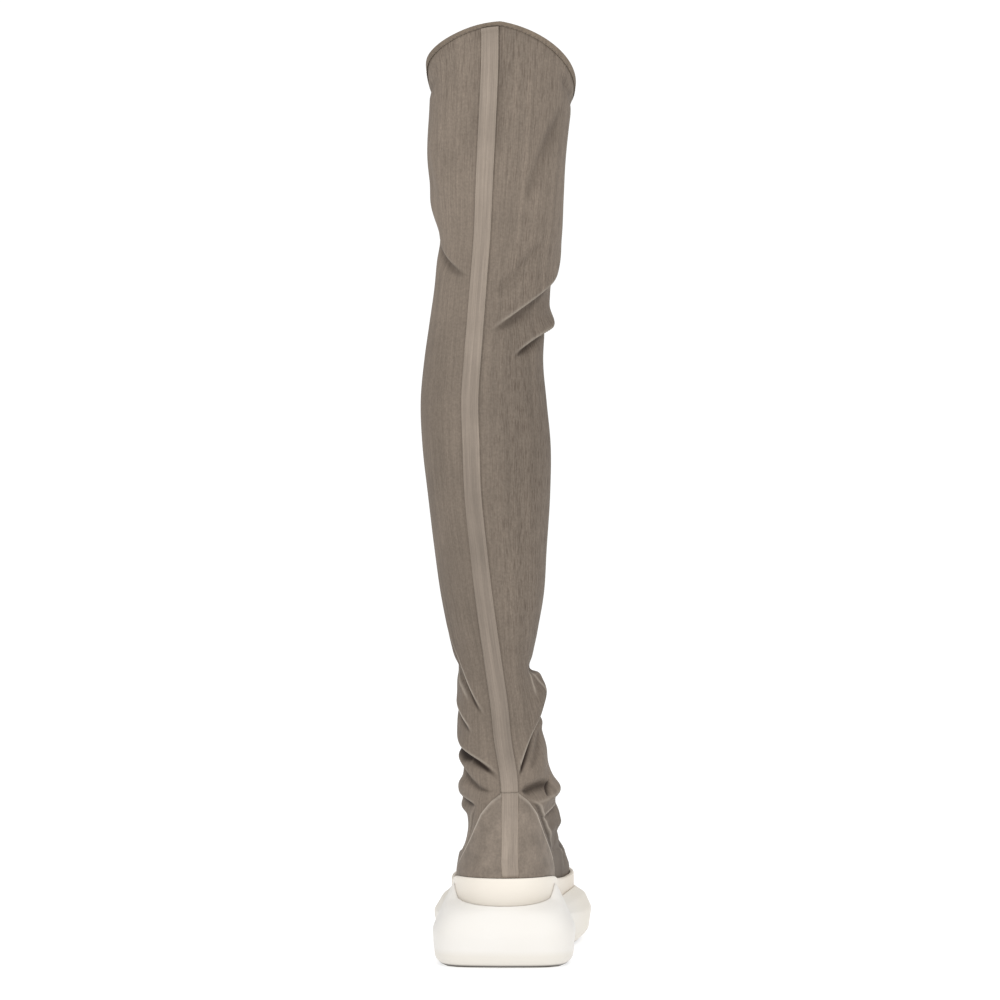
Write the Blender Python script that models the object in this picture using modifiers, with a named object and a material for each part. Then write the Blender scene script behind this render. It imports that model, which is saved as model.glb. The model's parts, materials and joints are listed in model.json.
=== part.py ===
"""Left over-the-knee stretch boot on a thick sculpted rubber sole.

Frame: +Z up with the tread on Z = 0, +Y from heel to toe, +X towards the inner (medial) side.
Sizes are in millimetres and degrees. loft() turns them to metres where the meshes are made.
"""

import math
from collections import namedtuple

import bpy
import numpy as np

# Driving dimensions
MM = 0.001
GAP = 0.35
WALL = 1.8
HEEL_BACK = -41.0
TOE_TIP = 248.0
WALL_RISE = 4.0
BAND_THICKNESS = 3.5
BAND_ROUND = 1.2
LIP_THICKNESS = 2.4
LIP_ROUND = 1.0
INSOLE_THICKNESS = 5.0
INSOLE_ROUND = 1.0
INSOLE_GAP = 0.9
STAY_HALF_WIDTH = 7.0
STAY_THICKNESS = 1.0
COUNTER_THICKNESS = 1.2
COUNTER_GAP = 0.6
BINDING_HEIGHT = 6.5
BINDING_THICKNESS = 1.2
BINDING_ROUND = 0.6
SEAM_HEIGHT = 136.8

# The outer flank stands out less than the inner one, fully so from the second of these angles on
LATERAL_SHARE = 0.9
LATERAL_FROM_DEG = 60.0
LATERAL_FULL_DEG = 100.0

# Mesh density, and the angle from which an edge is shaded sharp
COLUMNS_PER_SIDE = 17
STATIONS = 72
STAY_COLUMNS = 3
COUNTER_COLUMNS = 15
COUNTER_ROWS = 10
ROW_CLEARANCE = 1.0
DOWN_TRIES = 600
SHARP_DEG = 35.0

# Small steps that measure how a surface or an outline runs
STEP_DOWN = 0.5
STEP_TURN = 0.01
STEP_OUTLINE = 0.001

# The upper's sections, collar to toe. Each spans from a back point to a front point, half_width to
# either side. medial_drop and lateral_drop lower its sides, foot_share blends an oval into the
# last's outline, seam_deg turns the back seam towards the medial side, and steps is how many rows
# of mesh lead to the next section.
Section = namedtuple(
    "Section",
    "name back_x back_y back_z front_x front_y front_z half_width medial_drop lateral_drop "
    "foot_share seam_deg steps",
)
SECTIONS = (
    Section("collar", -2.0, -47.0, 748.0, -3.0, 86.0, 688.0, 59.0, 10.0, 3.0, 0.0, -8.0, 1),
    Section("hem", -3.0, -46.0, 722.0, -4.0, 86.0, 672.0, 57.5, 7.0, 2.0, 0.0, -7.4, 2),
    Section("thigh", -7.0, -43.0, 660.0, -7.0, 84.0, 634.0, 56.0, 3.0, 1.0, 0.0, -6.2, 1),
    Section("thigh_low", -6.5, -40.0, 620.0, -6.5, 82.0, 608.0, 54.0, 0.0, 0.0, 0.0, -9.2, 1),
    Section("above_knee", -4.5, -36.0, 584.0, -4.5, 79.0, 582.0, 50.5, 0.0, 0.0, 0.0, -14.0, 3),
    Section("knee", -8.0, -31.0, 548.0, -8.0, 76.0, 550.0, 48.5, 0.0, 0.0, 0.0, -13.8, 3),
    Section("knee_back", -14.0, -31.0, 512.0, -14.0, 73.0, 514.0, 47.2, 0.0, 0.0, 0.0, -10.2, 3),
    Section("below_knee", -17.0, -36.0, 484.0, -17.0, 70.0, 485.0, 48.0, 0.0, 0.0, 0.0, -8.8, 1),
    Section("calf_high", -17.0, -44.0, 450.0, -17.0, 66.0, 450.0, 50.8, 0.0, 0.0, 0.0, -10.6, 1),
    Section("calf", -14.5, -50.0, 414.0, -14.5, 63.0, 414.0, 51.7, 0.0, 0.0, 0.0, -12.0, 1),
    Section("calf_low", -12.5, -50.0, 375.0, -12.5, 62.0, 375.0, 49.3, 0.0, 0.0, 0.0, -13.2, 1),
    Section("shin", -11.3, -43.0, 330.0, -11.3, 61.0, 330.0, 45.2, 0.0, 0.0, 0.0, -10.3, 1),
    Section("shin_low", -10.0, -36.0, 293.0, -10.0, 61.0, 294.0, 41.5, 0.0, 0.0, 0.0, -7.5, 1),
    Section("ankle_top", -9.7, -31.0, 262.0, -9.7, 61.0, 265.0, 36.0, 0.0, 0.0, 0.0, -2.6, 2),
    Section("slouch_top", -9.0, -28.0, 235.0, -9.0, 62.0, 241.0, 31.0, 0.0, 0.0, 0.0, 2.7, 4),
    Section("slouch", -6.0, -25.0, 205.0, -6.0, 63.0, 215.0, 32.5, 0.0, 0.0, 0.0, 4.7, 4),
    Section("slouch_low", -5.0, -24.5, 178.0, -4.0, 65.0, 194.0, 33.8, 0.0, 0.0, 0.0, 7.4, 4),
    Section("ankle", -0.6, -27.0, 153.0, 2.0, 76.0, 172.0, 35.6, 0.0, 0.0, 0.0, 6.6, 3),
    Section("throat", 0.2, -31.5, 136.0, 5.0, 95.0, 147.0, 35.0, 0.0, 0.0, 0.08, 7.4, 2),
    Section("instep", 0.0, -36.0, 122.0, 6.0, 117.0, 122.0, 33.0, 0.0, 0.0, 0.2, 7.4, 2),
    Section("vamp", 0.0, -39.5, 110.0, 6.5, 142.0, 102.0, 30.0, 0.0, 0.0, 0.32, 7.2, 1),
    Section("ball", 0.0, -41.5, 98.0, 6.5, 174.0, 86.0, 31.5, 0.0, 0.0, 0.45, 6.5, 2),
    Section("toe_box", 0.0, -42.0, 88.0, 4.5, 206.0, 76.0, 35.0, 0.0, 0.0, 0.6, 5.6, 2),
    Section("toe", 0.0, -41.8, 80.0, 1.5, 235.0, 69.0, 38.5, 0.0, 0.0, 0.76, 5.0, 2),
)

# The last's outline in plan: half widths at angles counted from the heel's back to the toe's tip
Outline = namedtuple("Outline", "angle medial lateral")
LAST_OUTLINE = (
    Outline(0.0, 0.0, 0.0),
    Outline(20.0, 21.5, 21.5),
    Outline(40.0, 34.0, 34.0),
    Outline(60.0, 37.5, 38.0),
    Outline(80.0, 38.5, 40.5),
    Outline(100.0, 46.0, 43.5),
    Outline(115.0, 50.0, 43.5),
    Outline(130.0, 49.5, 40.0),
    Outline(145.0, 42.5, 31.0),
    Outline(162.0, 28.0, 14.5),
    Outline(180.0, 8.0, -8.0),
)

# Heights along the foot: where the tread, the seat of the upper and the foxing's top edge lie
Level = namedtuple("Level", "along tread seat band_top")
LEVELS = (
    Level(-70.0, 0.0, 42.0, 70.5),
    Level(0.0, 0.0, 41.0, 68.0),
    Level(38.0, 0.0, 37.5, 64.0),
    Level(65.0, 2.5, 33.5, 60.5),
    Level(95.0, 2.5, 30.0, 57.5),
    Level(120.0, 0.0, 28.5, 56.0),
    Level(150.0, 0.0, 28.0, 55.5),
    Level(190.0, 0.0, 28.0, 55.5),
    Level(220.0, 4.0, 30.0, 57.0),
    Level(275.0, 13.0, 37.0, 63.0),
)

# The outsole's flank: how high its lip climbs the foxing, and how far shoulder, belly and foot
# stand out from the foxing, at the outline's angles. The foot is cut off: it stands `foot` over the
# tread and as far out from it. Straight runs between the rows are facets.
Flank = namedtuple("Flank", "angle lip shoulder_out shoulder belly_out belly foot_out foot")
FLANKS = (
    Flank(0.0, 47.8, 7.0, 43.5, 15.8, 27.0, 13.3, 5.0),
    Flank(5.0, 47.8, 7.4, 43.5, 16.1, 27.0, 13.6, 5.0),
    Flank(10.0, 48.0, 9.2, 43.5, 18.0, 27.0, 15.5, 5.0),
    Flank(15.0, 48.3, 12.6, 43.5, 22.0, 27.0, 19.5, 5.0),
    Flank(20.0, 48.8, 16.6, 43.5, 27.0, 27.0, 24.5, 5.0),
    Flank(25.0, 49.4, 17.0, 44.5, 28.5, 27.0, 26.0, 5.0),
    Flank(30.0, 50.0, 14.8, 45.5, 26.0, 27.0, 23.5, 5.0),
    Flank(36.0, 51.2, 12.0, 46.5, 22.3, 27.0, 20.0, 5.0),
    Flank(38.0, 52.0, 11.2, 46.8, 21.0, 27.3, 18.7, 5.0),
    Flank(42.0, 56.0, 10.0, 47.0, 19.2, 27.6, 17.0, 5.0),
    Flank(46.0, 60.0, 9.2, 47.0, 17.8, 28.0, 15.6, 5.0),
    Flank(48.0, 61.5, 8.8, 47.0, 17.1, 28.0, 15.0, 5.0),
    Flank(52.0, 57.5, 7.6, 43.5, 14.8, 27.0, 12.5, 5.0),
    Flank(58.0, 50.0, 7.0, 41.0, 12.4, 29.0, 9.5, 5.0),
    Flank(65.0, 43.5, 6.5, 38.5, 11.0, 32.0, 7.5, 5.0),
    Flank(70.0, 40.0, 6.5, 36.0, 11.0, 31.5, 6.5, 5.0),
    Flank(80.0, 41.5, 7.5, 36.5, 12.6, 30.0, 9.0, 6.0),
    Flank(95.0, 43.3, 8.5, 38.0, 15.0, 27.5, 12.5, 8.0),
    Flank(105.0, 43.8, 9.0, 38.0, 16.6, 27.0, 14.0, 9.0),
    Flank(115.0, 43.6, 9.0, 38.0, 15.4, 26.5, 12.8, 9.0),
    Flank(130.0, 42.0, 9.5, 36.5, 13.5, 26.0, 11.0, 8.0),
    Flank(145.0, 43.0, 9.0, 36.5, 12.0, 26.0, 9.0, 7.0),
    Flank(160.0, 45.0, 8.5, 38.0, 12.0, 27.0, 8.5, 7.0),
    Flank(180.0, 46.0, 8.5, 39.0, 12.5, 28.0, 8.5, 7.0),
)

# Main folds of the slack shaft. Each runs from its deep end to the end where it fades, medial
# angles positive, and lifts the wall (or sinks it) within half_width of that line.
Fold = namedtuple("Fold", "name from_deg from_z to_deg to_z half_width lift")
FOLDS = (
    Fold("knee_medial_roll", 88.0, 562.0, 20.0, 518.0, 10.0, 1.5),
    Fold("knee_medial_crease", 88.0, 538.0, 15.0, 503.0, 8.0, -3.0),
    Fold("knee_medial_tip", 90.0, 515.0, 35.0, 493.0, 7.0, 6.0),
    Fold("knee_lateral_roll", -90.0, 612.0, -35.0, 572.0, 12.0, 1.5),
    Fold("knee_lateral_crease", -90.0, 588.0, -30.0, 550.0, 11.0, -3.5),
    Fold("ankle_medial_bulge", 95.0, 218.0, 40.0, 190.0, 13.0, 7.0),
    Fold("ankle_medial_crease", 88.0, 192.0, 20.0, 152.0, 8.0, -2.5),
    Fold("ankle_medial_roll", 95.0, 136.0, 35.0, 130.0, 8.0, 5.0),
    Fold("ankle_lateral_roll", -88.0, 184.0, -15.0, 156.0, 8.0, 2.0),
    Fold("ankle_lateral_crease", -68.0, 164.0, -12.0, 142.0, 7.0, -3.0),
    Fold("ankle_lateral_bulge", -92.0, 134.0, -45.0, 132.0, 8.0, 4.0),
    Fold("instep_medial_swell", 105.0, 113.0, 55.0, 108.0, 9.0, 4.5),
)
FOLD_FADE_DEG = 30.0
STIFF_MARGIN = 5.0
STIFF_FADE = 7.0

# The counters' top edge, from the back stay round to the side
Edge = namedtuple("Edge", "angle height")
COUNTER_EDGE = (
    Edge(0.0, 140.0),
    Edge(9.0, 137.0),
    Edge(22.0, 130.0),
    Edge(34.0, 120.0),
    Edge(43.0, 108.0),
    Edge(49.0, 95.0),
    Edge(54.0, 82.0),
    Edge(57.0, 60.0),
)
COUNTER_END_DEG = 55.5

# Finishes: linear colour, roughness
Finish = namedtuple("Finish", "colour roughness")
STRETCH_SKIN = Finish((0.25, 0.21, 0.18, 1.0), 0.6)
STAY_TAPE = Finish((0.36, 0.3, 0.26, 1.0), 0.55)
COUNTER_SKIN = Finish((0.24, 0.2, 0.165, 1.0), 0.5)
CREAM_RUBBER = Finish((0.86, 0.81, 0.72, 1.0), 0.5)
WHITE_RUBBER = Finish((0.88, 0.86, 0.83, 1.0), 0.45)
FOOTBED = Finish((0.2, 0.17, 0.14, 1.0), 0.8)


def column(table, name):
    """One named column of a table as an array."""
    return np.array([getattr(row, name) for row in table])


def smooth(knots, values, at):
    """Values read at `at` from a smooth curve through the knots."""
    slopes = np.gradient(values, knots)
    low = np.clip(np.searchsorted(knots, at, side="right") - 1, 0, len(knots) - 2)
    span = knots[low + 1] - knots[low]
    share = (at - knots[low]) / span
    rise = share * share * (3.0 - 2.0 * share)
    leave = share * (1.0 - share) ** 2 * span * slopes[low]
    arrive = share * share * (share - 1.0) * span * slopes[low + 1]
    return values[low] * (1.0 - rise) + values[low + 1] * rise + leave + arrive


def level(name, along):
    """Height of the tread, seat or foxing top at a distance along the foot."""
    knots = column(LEVELS, "along")
    if name == "tread":
        return np.interp(along, knots, column(LEVELS, name))
    return smooth(knots, column(LEVELS, name), along)


def last_x(angle):
    """Sideways place of the last's outline at an angle in radians, counted round the foot."""
    stops = column(LAST_OUTLINE, "angle")
    medial = column(LAST_OUTLINE, "medial")
    lateral = column(LAST_OUTLINE, "lateral")
    turn = np.concatenate((stops, 360.0 - stops[-2:0:-1]))
    side = np.concatenate((medial, -lateral[-2:0:-1]))
    knots = np.concatenate((turn - 360.0, turn, turn + 360.0))
    return smooth(knots, np.tile(side, 3), np.degrees(angle) % 360.0)


def last_outline(angle, out=0.0):
    """Plan points (x, y) of the last's outline, moved outwards by `out`."""

    def plan(turn):
        along = HEEL_BACK + (TOE_TIP - HEEL_BACK) * (1.0 - np.cos(turn)) / 2.0
        return np.stack((last_x(turn), along), axis=-1)

    run = plan(angle + STEP_OUTLINE) - plan(angle - STEP_OUTLINE)
    outward = np.stack((run[..., 1], -run[..., 0]), axis=-1)
    outward /= np.linalg.norm(outward, axis=-1, keepdims=True)
    return plan(angle) + outward * np.asarray(out)[..., None]


def section_ring(section, turn):
    """Points of one section at angles counted from the back seam."""
    angle = turn + math.radians(section.seam_deg)
    share = (1.0 - np.cos(angle)) / 2.0
    oval = section.half_width * np.sin(angle)
    x = section.back_x + (section.front_x - section.back_x) * share
    x = x + oval * (1.0 - section.foot_share) + last_x(angle) * section.foot_share
    y = section.back_y + (section.front_y - section.back_y) * share
    z = section.back_z + (section.front_z - section.back_z) * share
    drop = np.where(oval > 0.0, section.medial_drop, section.lateral_drop)
    z = z - drop * np.abs(np.sin(angle))
    return np.stack((x, y, z), axis=-1)


def wall_ring(turn, at_seat):
    """The upright foot of the upper, at the seat or just over the foxing."""
    angle = turn + math.radians(SECTIONS[-1].seam_deg)
    plan = last_outline(angle)
    along = plan[..., 1]
    height = level("seat", along) + GAP if at_seat else level("band_top", along) + WALL_RISE
    return np.concatenate((plan, height[..., None]), axis=-1)


def section_stops():
    """Distance down the upper of each section and of the upright wall's top and foot."""
    ends = [np.array((s.back_y, s.back_z, s.front_y, s.front_z)) for s in SECTIONS]
    for at_seat in (False, True):
        back, front = wall_ring(np.array((0.0, math.pi)), at_seat)
        ends.append(np.array((back[1], back[2], front[1], front[2])))
    moves = np.diff(np.array(ends), axis=0)
    lengths = np.hypot(moves[:, 0], moves[:, 1]) + np.hypot(moves[:, 2], moves[:, 3])
    return np.concatenate(((0.0,), np.cumsum(lengths / 2.0)))


STOPS = section_stops()
WALL_TOP = STOPS[-2]
FEATHER = STOPS[-1]


def unfolded(down, turn):
    """Points of the upper before its folds, `down` from the collar and `turn` from the back seam."""
    down, turn = np.broadcast_arrays(down, turn)
    rings = np.stack([section_ring(s, turn) for s in SECTIONS] + [wall_ring(turn, False)])
    foot = wall_ring(turn, True)
    knots = STOPS[:-1]
    slopes = np.gradient(rings, knots, axis=0)
    slopes[-1] = (foot - rings[-1]) / (FEATHER - WALL_TOP)
    low = np.clip(np.searchsorted(knots, down, side="right") - 1, 0, len(knots) - 2)

    def pick(stack, index):
        return np.take_along_axis(stack, index[None, ..., None], axis=0)[0]

    span = (knots[low + 1] - knots[low])[..., None]
    share = np.clip((down - knots[low])[..., None] / span, 0.0, 1.0)
    rise = share * share * (3.0 - 2.0 * share)
    points = pick(rings, low) * (1.0 - rise) + pick(rings, low + 1) * rise
    points = points + share * (1.0 - share) ** 2 * span * pick(slopes, low)
    points = points + share * share * (share - 1.0) * span * pick(slopes, low + 1)
    sink = np.clip((down - WALL_TOP) / (FEATHER - WALL_TOP), 0.0, 1.0)[..., None]
    return points + (foot - rings[-1]) * sink


def seam_turn(down):
    """How far the back seam is turned to the medial side, in degrees."""
    return np.interp(down, STOPS[: len(SECTIONS)], column(SECTIONS, "seam_deg"))


def counter_top(angle):
    """Height of the counters' top edge at an angle in degrees from the back seam."""
    return np.interp(np.abs(angle), column(COUNTER_EDGE, "angle"), column(COUNTER_EDGE, "height"))


def fold_lift(down, turn, height):
    """How far the folds push the wall outwards. The stiff counters keep them off the heel."""
    from_seam = (np.degrees(turn) + 180.0) % 360.0 - 180.0
    angle = from_seam + seam_turn(down)
    slack = (height - counter_top(from_seam) - STIFF_MARGIN) / STIFF_FADE
    slack = np.clip(slack, 0.0, 1.0)
    lift = np.zeros(np.shape(height))
    for fold in FOLDS:
        share = (angle - fold.from_deg) / (fold.to_deg - fold.from_deg)
        before = FOLD_FADE_DEG / abs(fold.to_deg - fold.from_deg)
        fade = np.clip(np.where(share < 0.0, 1.0 + share / before, 1.0 - share), 0.0, 1.0)
        line = fold.from_z + (fold.to_z - fold.from_z) * share
        across = (height - line) / fold.half_width
        lift += fold.lift * fade * fade * (3.0 - 2.0 * fade) * np.exp(-across * across)
    return lift * slack


def upper_surface(down, turn, out=0.0):
    """Points of the upper's outer face, or of a face that lies `out` from it."""
    points = unfolded(down, turn)
    fall = unfolded(down + STEP_DOWN, turn) - unfolded(down - STEP_DOWN, turn)
    around = unfolded(down, turn + STEP_TURN) - unfolded(down, turn - STEP_TURN)
    outward = np.cross(fall, around)
    outward /= np.linalg.norm(outward, axis=-1, keepdims=True)
    return points + outward * (fold_lift(down, turn, points[..., 2]) + out)[..., None]


def down_at_height(turn, height):
    """How far down the upper it passes a height, at each angle."""
    tries = np.linspace(0.0, FEATHER, DOWN_TRIES)
    falling = -unfolded(tries[:, None], turn[None, :])[..., 2].T
    wanted = -np.broadcast_to(height, turn.shape)
    return np.array([np.interp(w, line, tries) for w, line in zip(wanted, falling)])


def band_edge_down(turn):
    """How far down the upper the top edge of the foxing lies, at each angle."""
    along = unfolded(np.full(turn.shape, WALL_TOP), turn)[:, 1]
    return down_at_height(turn, level("band_top", along) + GAP)


def mesh_rows():
    """Distances down the upper of its rows of mesh."""
    rows = [0.0]
    for start, end, section in zip(STOPS[:-2], STOPS[1:-1], SECTIONS):
        rows.extend(np.linspace(start, end, section.steps + 1)[1:])
    return np.array(rows + [FEATHER])


def stay_edge(down):
    """Angle of the back stay's edge, from its middle, at each distance down."""
    turn = np.full(down.shape, STEP_TURN)
    across = unfolded(down, turn) - unfolded(down, -turn)
    return STAY_HALF_WIDTH * 2.0 * STEP_TURN / np.linalg.norm(across, axis=-1)


def upper_turns(rows):
    """Angles of the upper's columns at each row, with columns on the middle and edges of the stay."""
    edge = stay_edge(rows)[:, None]
    share = np.arange(COLUMNS_PER_SIDE + 1) / COLUMNS_PER_SIDE
    side = edge + (math.pi - edge) * share
    return np.concatenate((np.zeros_like(edge), side, -side[:, -2::-1]), axis=1)


def loft(name, grid, finish, wrap_rows=False, wrap_columns=True, caps=False):
    """A mesh object from a grid of points in rows and columns.

    wrap_rows and wrap_columns join the last row or column to the first. caps closes the first row
    upwards and the last one downwards, with strips from side to side.
    """
    rows, columns = grid.shape[:2]
    faces = []
    for i in range(rows if wrap_rows else rows - 1):
        for j in range(columns if wrap_columns else columns - 1):
            k, m = (i + 1) % rows, (j + 1) % columns
            faces.append(tuple(r * columns + c for r, c in ((i, j), (k, j), (k, m), (i, m))))
    if caps:
        last = (rows - 1) * columns
        for j in range(columns // 2):
            strip = (-j % columns, j, j + 1, -(j + 1) % columns)
            strip = tuple(dict.fromkeys(strip))
            faces.append(strip)
            faces.append(tuple(last + c for c in reversed(strip)))
    mesh = bpy.data.meshes.new(name)
    mesh.from_pydata((grid.reshape(-1, 3) * MM).tolist(), [], faces)
    mesh.materials.append(material(name, finish))
    mesh.shade_smooth()
    mesh.set_sharp_from_angle(angle=math.radians(SHARP_DEG))
    return bpy.data.objects.new(name, mesh)


def material(name, finish):
    """A plain Principled material for one piece."""
    made = bpy.data.materials.new(name)
    made.use_nodes = True
    shader = made.node_tree.nodes["Principled BSDF"]
    shader.inputs["Base Color"].default_value = finish.colour
    shader.inputs["Roughness"].default_value = finish.roughness
    shader.inputs["Metallic"].default_value = 0.0
    return made


def thicken(obj, thickness, outwards):
    """Gives an open surface its wall."""
    shell = obj.modifiers.new("wall", "SOLIDIFY")
    shell.thickness = thickness * MM
    shell.offset = 1.0 if outwards else -1.0
    shell.use_rim = True
    return obj


def plan_rings(angles, rows):
    """Rings round the foot from (offset out of the last's outline, height) pairs of arrays."""
    rings = []
    for out, height in rows:
        plan = last_outline(angles, np.broadcast_to(out, angles.shape))
        z = height(plan[:, 1]) if callable(height) else np.broadcast_to(height, angles.shape)
        rings.append(np.concatenate((plan, z[:, None]), axis=1))
    return np.stack(rings)


def make_upper():
    """The stretch wall of foot and shaft, open at the collar and underneath."""
    rows = mesh_rows()
    grid = upper_surface(rows[:, None], upper_turns(rows))
    return thicken(loft("upper", grid, STRETCH_SKIN), WALL, outwards=False)


def make_collar_binding():
    """The folded hem over the collar's edge, a U in section."""
    turns = upper_turns(np.zeros(1))[0]
    top = upper_surface(0.0, turns)
    outward = upper_surface(0.0, turns, 1.0) - top
    fall = upper_surface(STEP_DOWN, turns) - top
    fall /= np.linalg.norm(fall, axis=-1, keepdims=True)
    inside = -WALL - GAP
    inner_face = inside - BINDING_THICKNESS
    outer_face = GAP + BINDING_THICKNESS
    crown = -GAP - BINDING_THICKNESS
    profile = (
        (outer_face, BINDING_HEIGHT),
        (GAP, BINDING_HEIGHT),
        (GAP, -GAP),
        (inside, -GAP),
        (inside, BINDING_HEIGHT),
        (inner_face, BINDING_HEIGHT),
        (inner_face, crown + BINDING_ROUND),
        (inside, crown),
        (GAP, crown),
        (outer_face, crown + BINDING_ROUND),
    )
    grid = np.stack([top + outward * out + fall * drop for out, drop in profile])
    return loft("collar_binding", grid, STRETCH_SKIN, wrap_rows=True)


def make_stay(name, start, end):
    """A tape down the back of the upper, with its rows on those of the upper."""
    rows = mesh_rows()
    rows = rows[(rows > start + ROW_CLEARANCE) & (rows < end - ROW_CLEARANCE)]
    rows = np.concatenate(((start,), rows, (end,)))
    edge = stay_edge(rows)[:, None]
    turns = edge * np.linspace(-1.0, 1.0, STAY_COLUMNS)
    grid = upper_surface(rows[:, None], turns, GAP)
    tape = loft(name, grid, STAY_TAPE, wrap_columns=False)
    return thicken(tape, STAY_THICKNESS, outwards=True)


def make_shaft_stay():
    """The tape from the collar's hem to the ankle seam."""
    seam = down_at_height(np.zeros(1), SEAM_HEIGHT)[0]
    return make_stay("back_stay_shaft", BINDING_HEIGHT + GAP, seam)


def make_heel_stay():
    """The tape from the ankle seam to the foxing."""
    seam = down_at_height(np.zeros(1), SEAM_HEIGHT)[0]
    return make_stay("back_stay_heel", seam + GAP, band_edge_down(np.zeros(1))[0])


def make_counter(name, side):
    """A heel counter from the back stay to its arched seam, side +1 medial or -1 lateral."""
    beside_stay = 1.0 + GAP / STAY_HALF_WIDTH
    far_end = math.radians(COUNTER_END_DEG)
    seam = down_at_height(np.zeros(1), SEAM_HEIGHT)
    turns = side * np.linspace(stay_edge(seam)[0] * beside_stay, far_end, COUNTER_COLUMNS)
    start = down_at_height(turns, counter_top(np.degrees(turns)))
    end = band_edge_down(turns)
    rows = start + (end - start) * np.linspace(0.0, 1.0, COUNTER_ROWS)[:, None]
    near_end = stay_edge(rows[:, 0])[:, None] * beside_stay
    spread = np.linspace(0.0, 1.0, COUNTER_COLUMNS)
    grid = upper_surface(rows, side * (near_end + (far_end - near_end) * spread), COUNTER_GAP)
    grid = grid if side > 0 else grid[:, ::-1]
    counter = loft(name, grid, COUNTER_SKIN, wrap_columns=False)
    return thicken(counter, COUNTER_THICKNESS, outwards=True)


def station_angles():
    """Angles of the stations round the sole."""
    return np.linspace(0.0, 2.0 * math.pi, STATIONS, endpoint=False)


def make_foxing_band():
    """The band round the foot of the upper."""
    angles = station_angles()
    outer = GAP + BAND_THICKNESS

    def top(along):
        return level("band_top", along)

    def foot(along):
        return level("seat", along) + GAP

    rows = (
        (GAP, foot),
        (GAP, top),
        (outer - BAND_ROUND, top),
        (outer, lambda along: top(along) - BAND_ROUND),
        (outer, foot),
    )
    return loft("foxing_band", plan_rings(angles, rows), CREAM_RUBBER, wrap_rows=True)


def make_insole():
    """The footbed that closes the upper underneath."""
    angles = station_angles()
    edge = -WALL - INSOLE_GAP

    def foot(along):
        return level("seat", along) + GAP

    def top(along):
        return foot(along) + INSOLE_THICKNESS

    rows = (
        (edge - INSOLE_ROUND, top),
        (edge, lambda along: top(along) - INSOLE_ROUND),
        (edge, foot),
    )
    return loft("insole", plan_rings(angles, rows), FOOTBED, caps=True)


def make_outsole():
    """The rubber block: a seat for the upper, a lip that waves up the foxing, flanks and tread."""
    angles = station_angles()
    folded = np.degrees(np.minimum(angles, 2.0 * math.pi - angles))
    lateral = np.interp(folded, (LATERAL_FROM_DEG, LATERAL_FULL_DEG), (1.0, LATERAL_SHARE))
    share = np.where(angles > math.pi, lateral, 1.0)

    def flank(name):
        return np.interp(folded, column(FLANKS, "angle"), column(FLANKS, name))

    seat_out = 2.0 * GAP + BAND_THICKNESS
    foot_out = seat_out + flank("foot_out") * share

    def tread(along):
        return level("tread", along)

    rows = (
        (seat_out, lambda along: level("seat", along)),
        (seat_out, flank("lip")),
        (seat_out + LIP_THICKNESS - LIP_ROUND, flank("lip")),
        (seat_out + LIP_THICKNESS, flank("lip") - LIP_ROUND),
        (seat_out + flank("shoulder_out") * share, flank("shoulder")),
        (seat_out + flank("belly_out") * share, flank("belly")),
        (foot_out, lambda along: tread(along) + flank("foot")),
        (foot_out - flank("foot"), tread),
    )
    return loft("outsole", plan_rings(angles, rows), WHITE_RUBBER, caps=True)


def main():
    """Clears the scene and builds the boot under one empty, in its own collection."""
    for old in list(bpy.data.objects):
        bpy.data.objects.remove(old, do_unlink=True)
    boot = bpy.data.collections.new("over_the_knee_boot")
    bpy.context.scene.collection.children.link(boot)
    root = bpy.data.objects.new("boot", None)
    boot.objects.link(root)
    pieces = (
        make_outsole(),
        make_foxing_band(),
        make_insole(),
        make_upper(),
        make_counter("counter_medial", 1.0),
        make_counter("counter_lateral", -1.0),
        make_heel_stay(),
        make_shaft_stay(),
        make_collar_binding(),
    )
    for piece in pieces:
        boot.objects.link(piece)
        piece.parent = root


main()
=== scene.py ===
"""Looks of a left over-the-knee stretch boot on a sculpted rubber sole.

Frame: metres, +Z up from the floor, +Y from heel to toe, +X to the inner (medial) side of the foot.
The tables and the surface functions work in millimetres and degrees. make_piece() turns them to metres.
"""

import json
import logging
import math
from dataclasses import dataclass
from enum import Enum
from functools import cached_property
from typing import Any, NamedTuple, Optional, Sequence

import bpy
import numpy as np
from numpy.typing import NDArray
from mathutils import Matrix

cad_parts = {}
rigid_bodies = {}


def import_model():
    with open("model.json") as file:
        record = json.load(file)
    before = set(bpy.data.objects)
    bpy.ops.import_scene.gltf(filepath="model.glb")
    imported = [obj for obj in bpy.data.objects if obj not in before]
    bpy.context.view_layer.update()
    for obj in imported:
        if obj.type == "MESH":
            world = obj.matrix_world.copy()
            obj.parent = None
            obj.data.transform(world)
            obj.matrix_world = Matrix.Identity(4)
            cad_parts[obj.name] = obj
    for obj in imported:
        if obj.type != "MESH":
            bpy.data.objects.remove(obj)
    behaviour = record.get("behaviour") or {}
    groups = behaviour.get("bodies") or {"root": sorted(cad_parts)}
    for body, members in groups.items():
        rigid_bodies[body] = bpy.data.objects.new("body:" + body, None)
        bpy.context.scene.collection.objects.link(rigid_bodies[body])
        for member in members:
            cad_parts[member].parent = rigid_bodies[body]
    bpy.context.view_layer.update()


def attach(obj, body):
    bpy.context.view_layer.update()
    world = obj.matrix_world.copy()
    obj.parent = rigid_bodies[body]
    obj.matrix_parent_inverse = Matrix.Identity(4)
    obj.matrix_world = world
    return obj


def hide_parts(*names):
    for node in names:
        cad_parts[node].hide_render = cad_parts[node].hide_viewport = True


Array = NDArray[np.float64]
LOG = logging.getLogger("boot")
MM = 0.001

# Small steps that measure how a surface or an outline runs
STEP_DOWN = 0.5
STEP_TURN = 0.01
STEP_OUTLINE = 0.001


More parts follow.
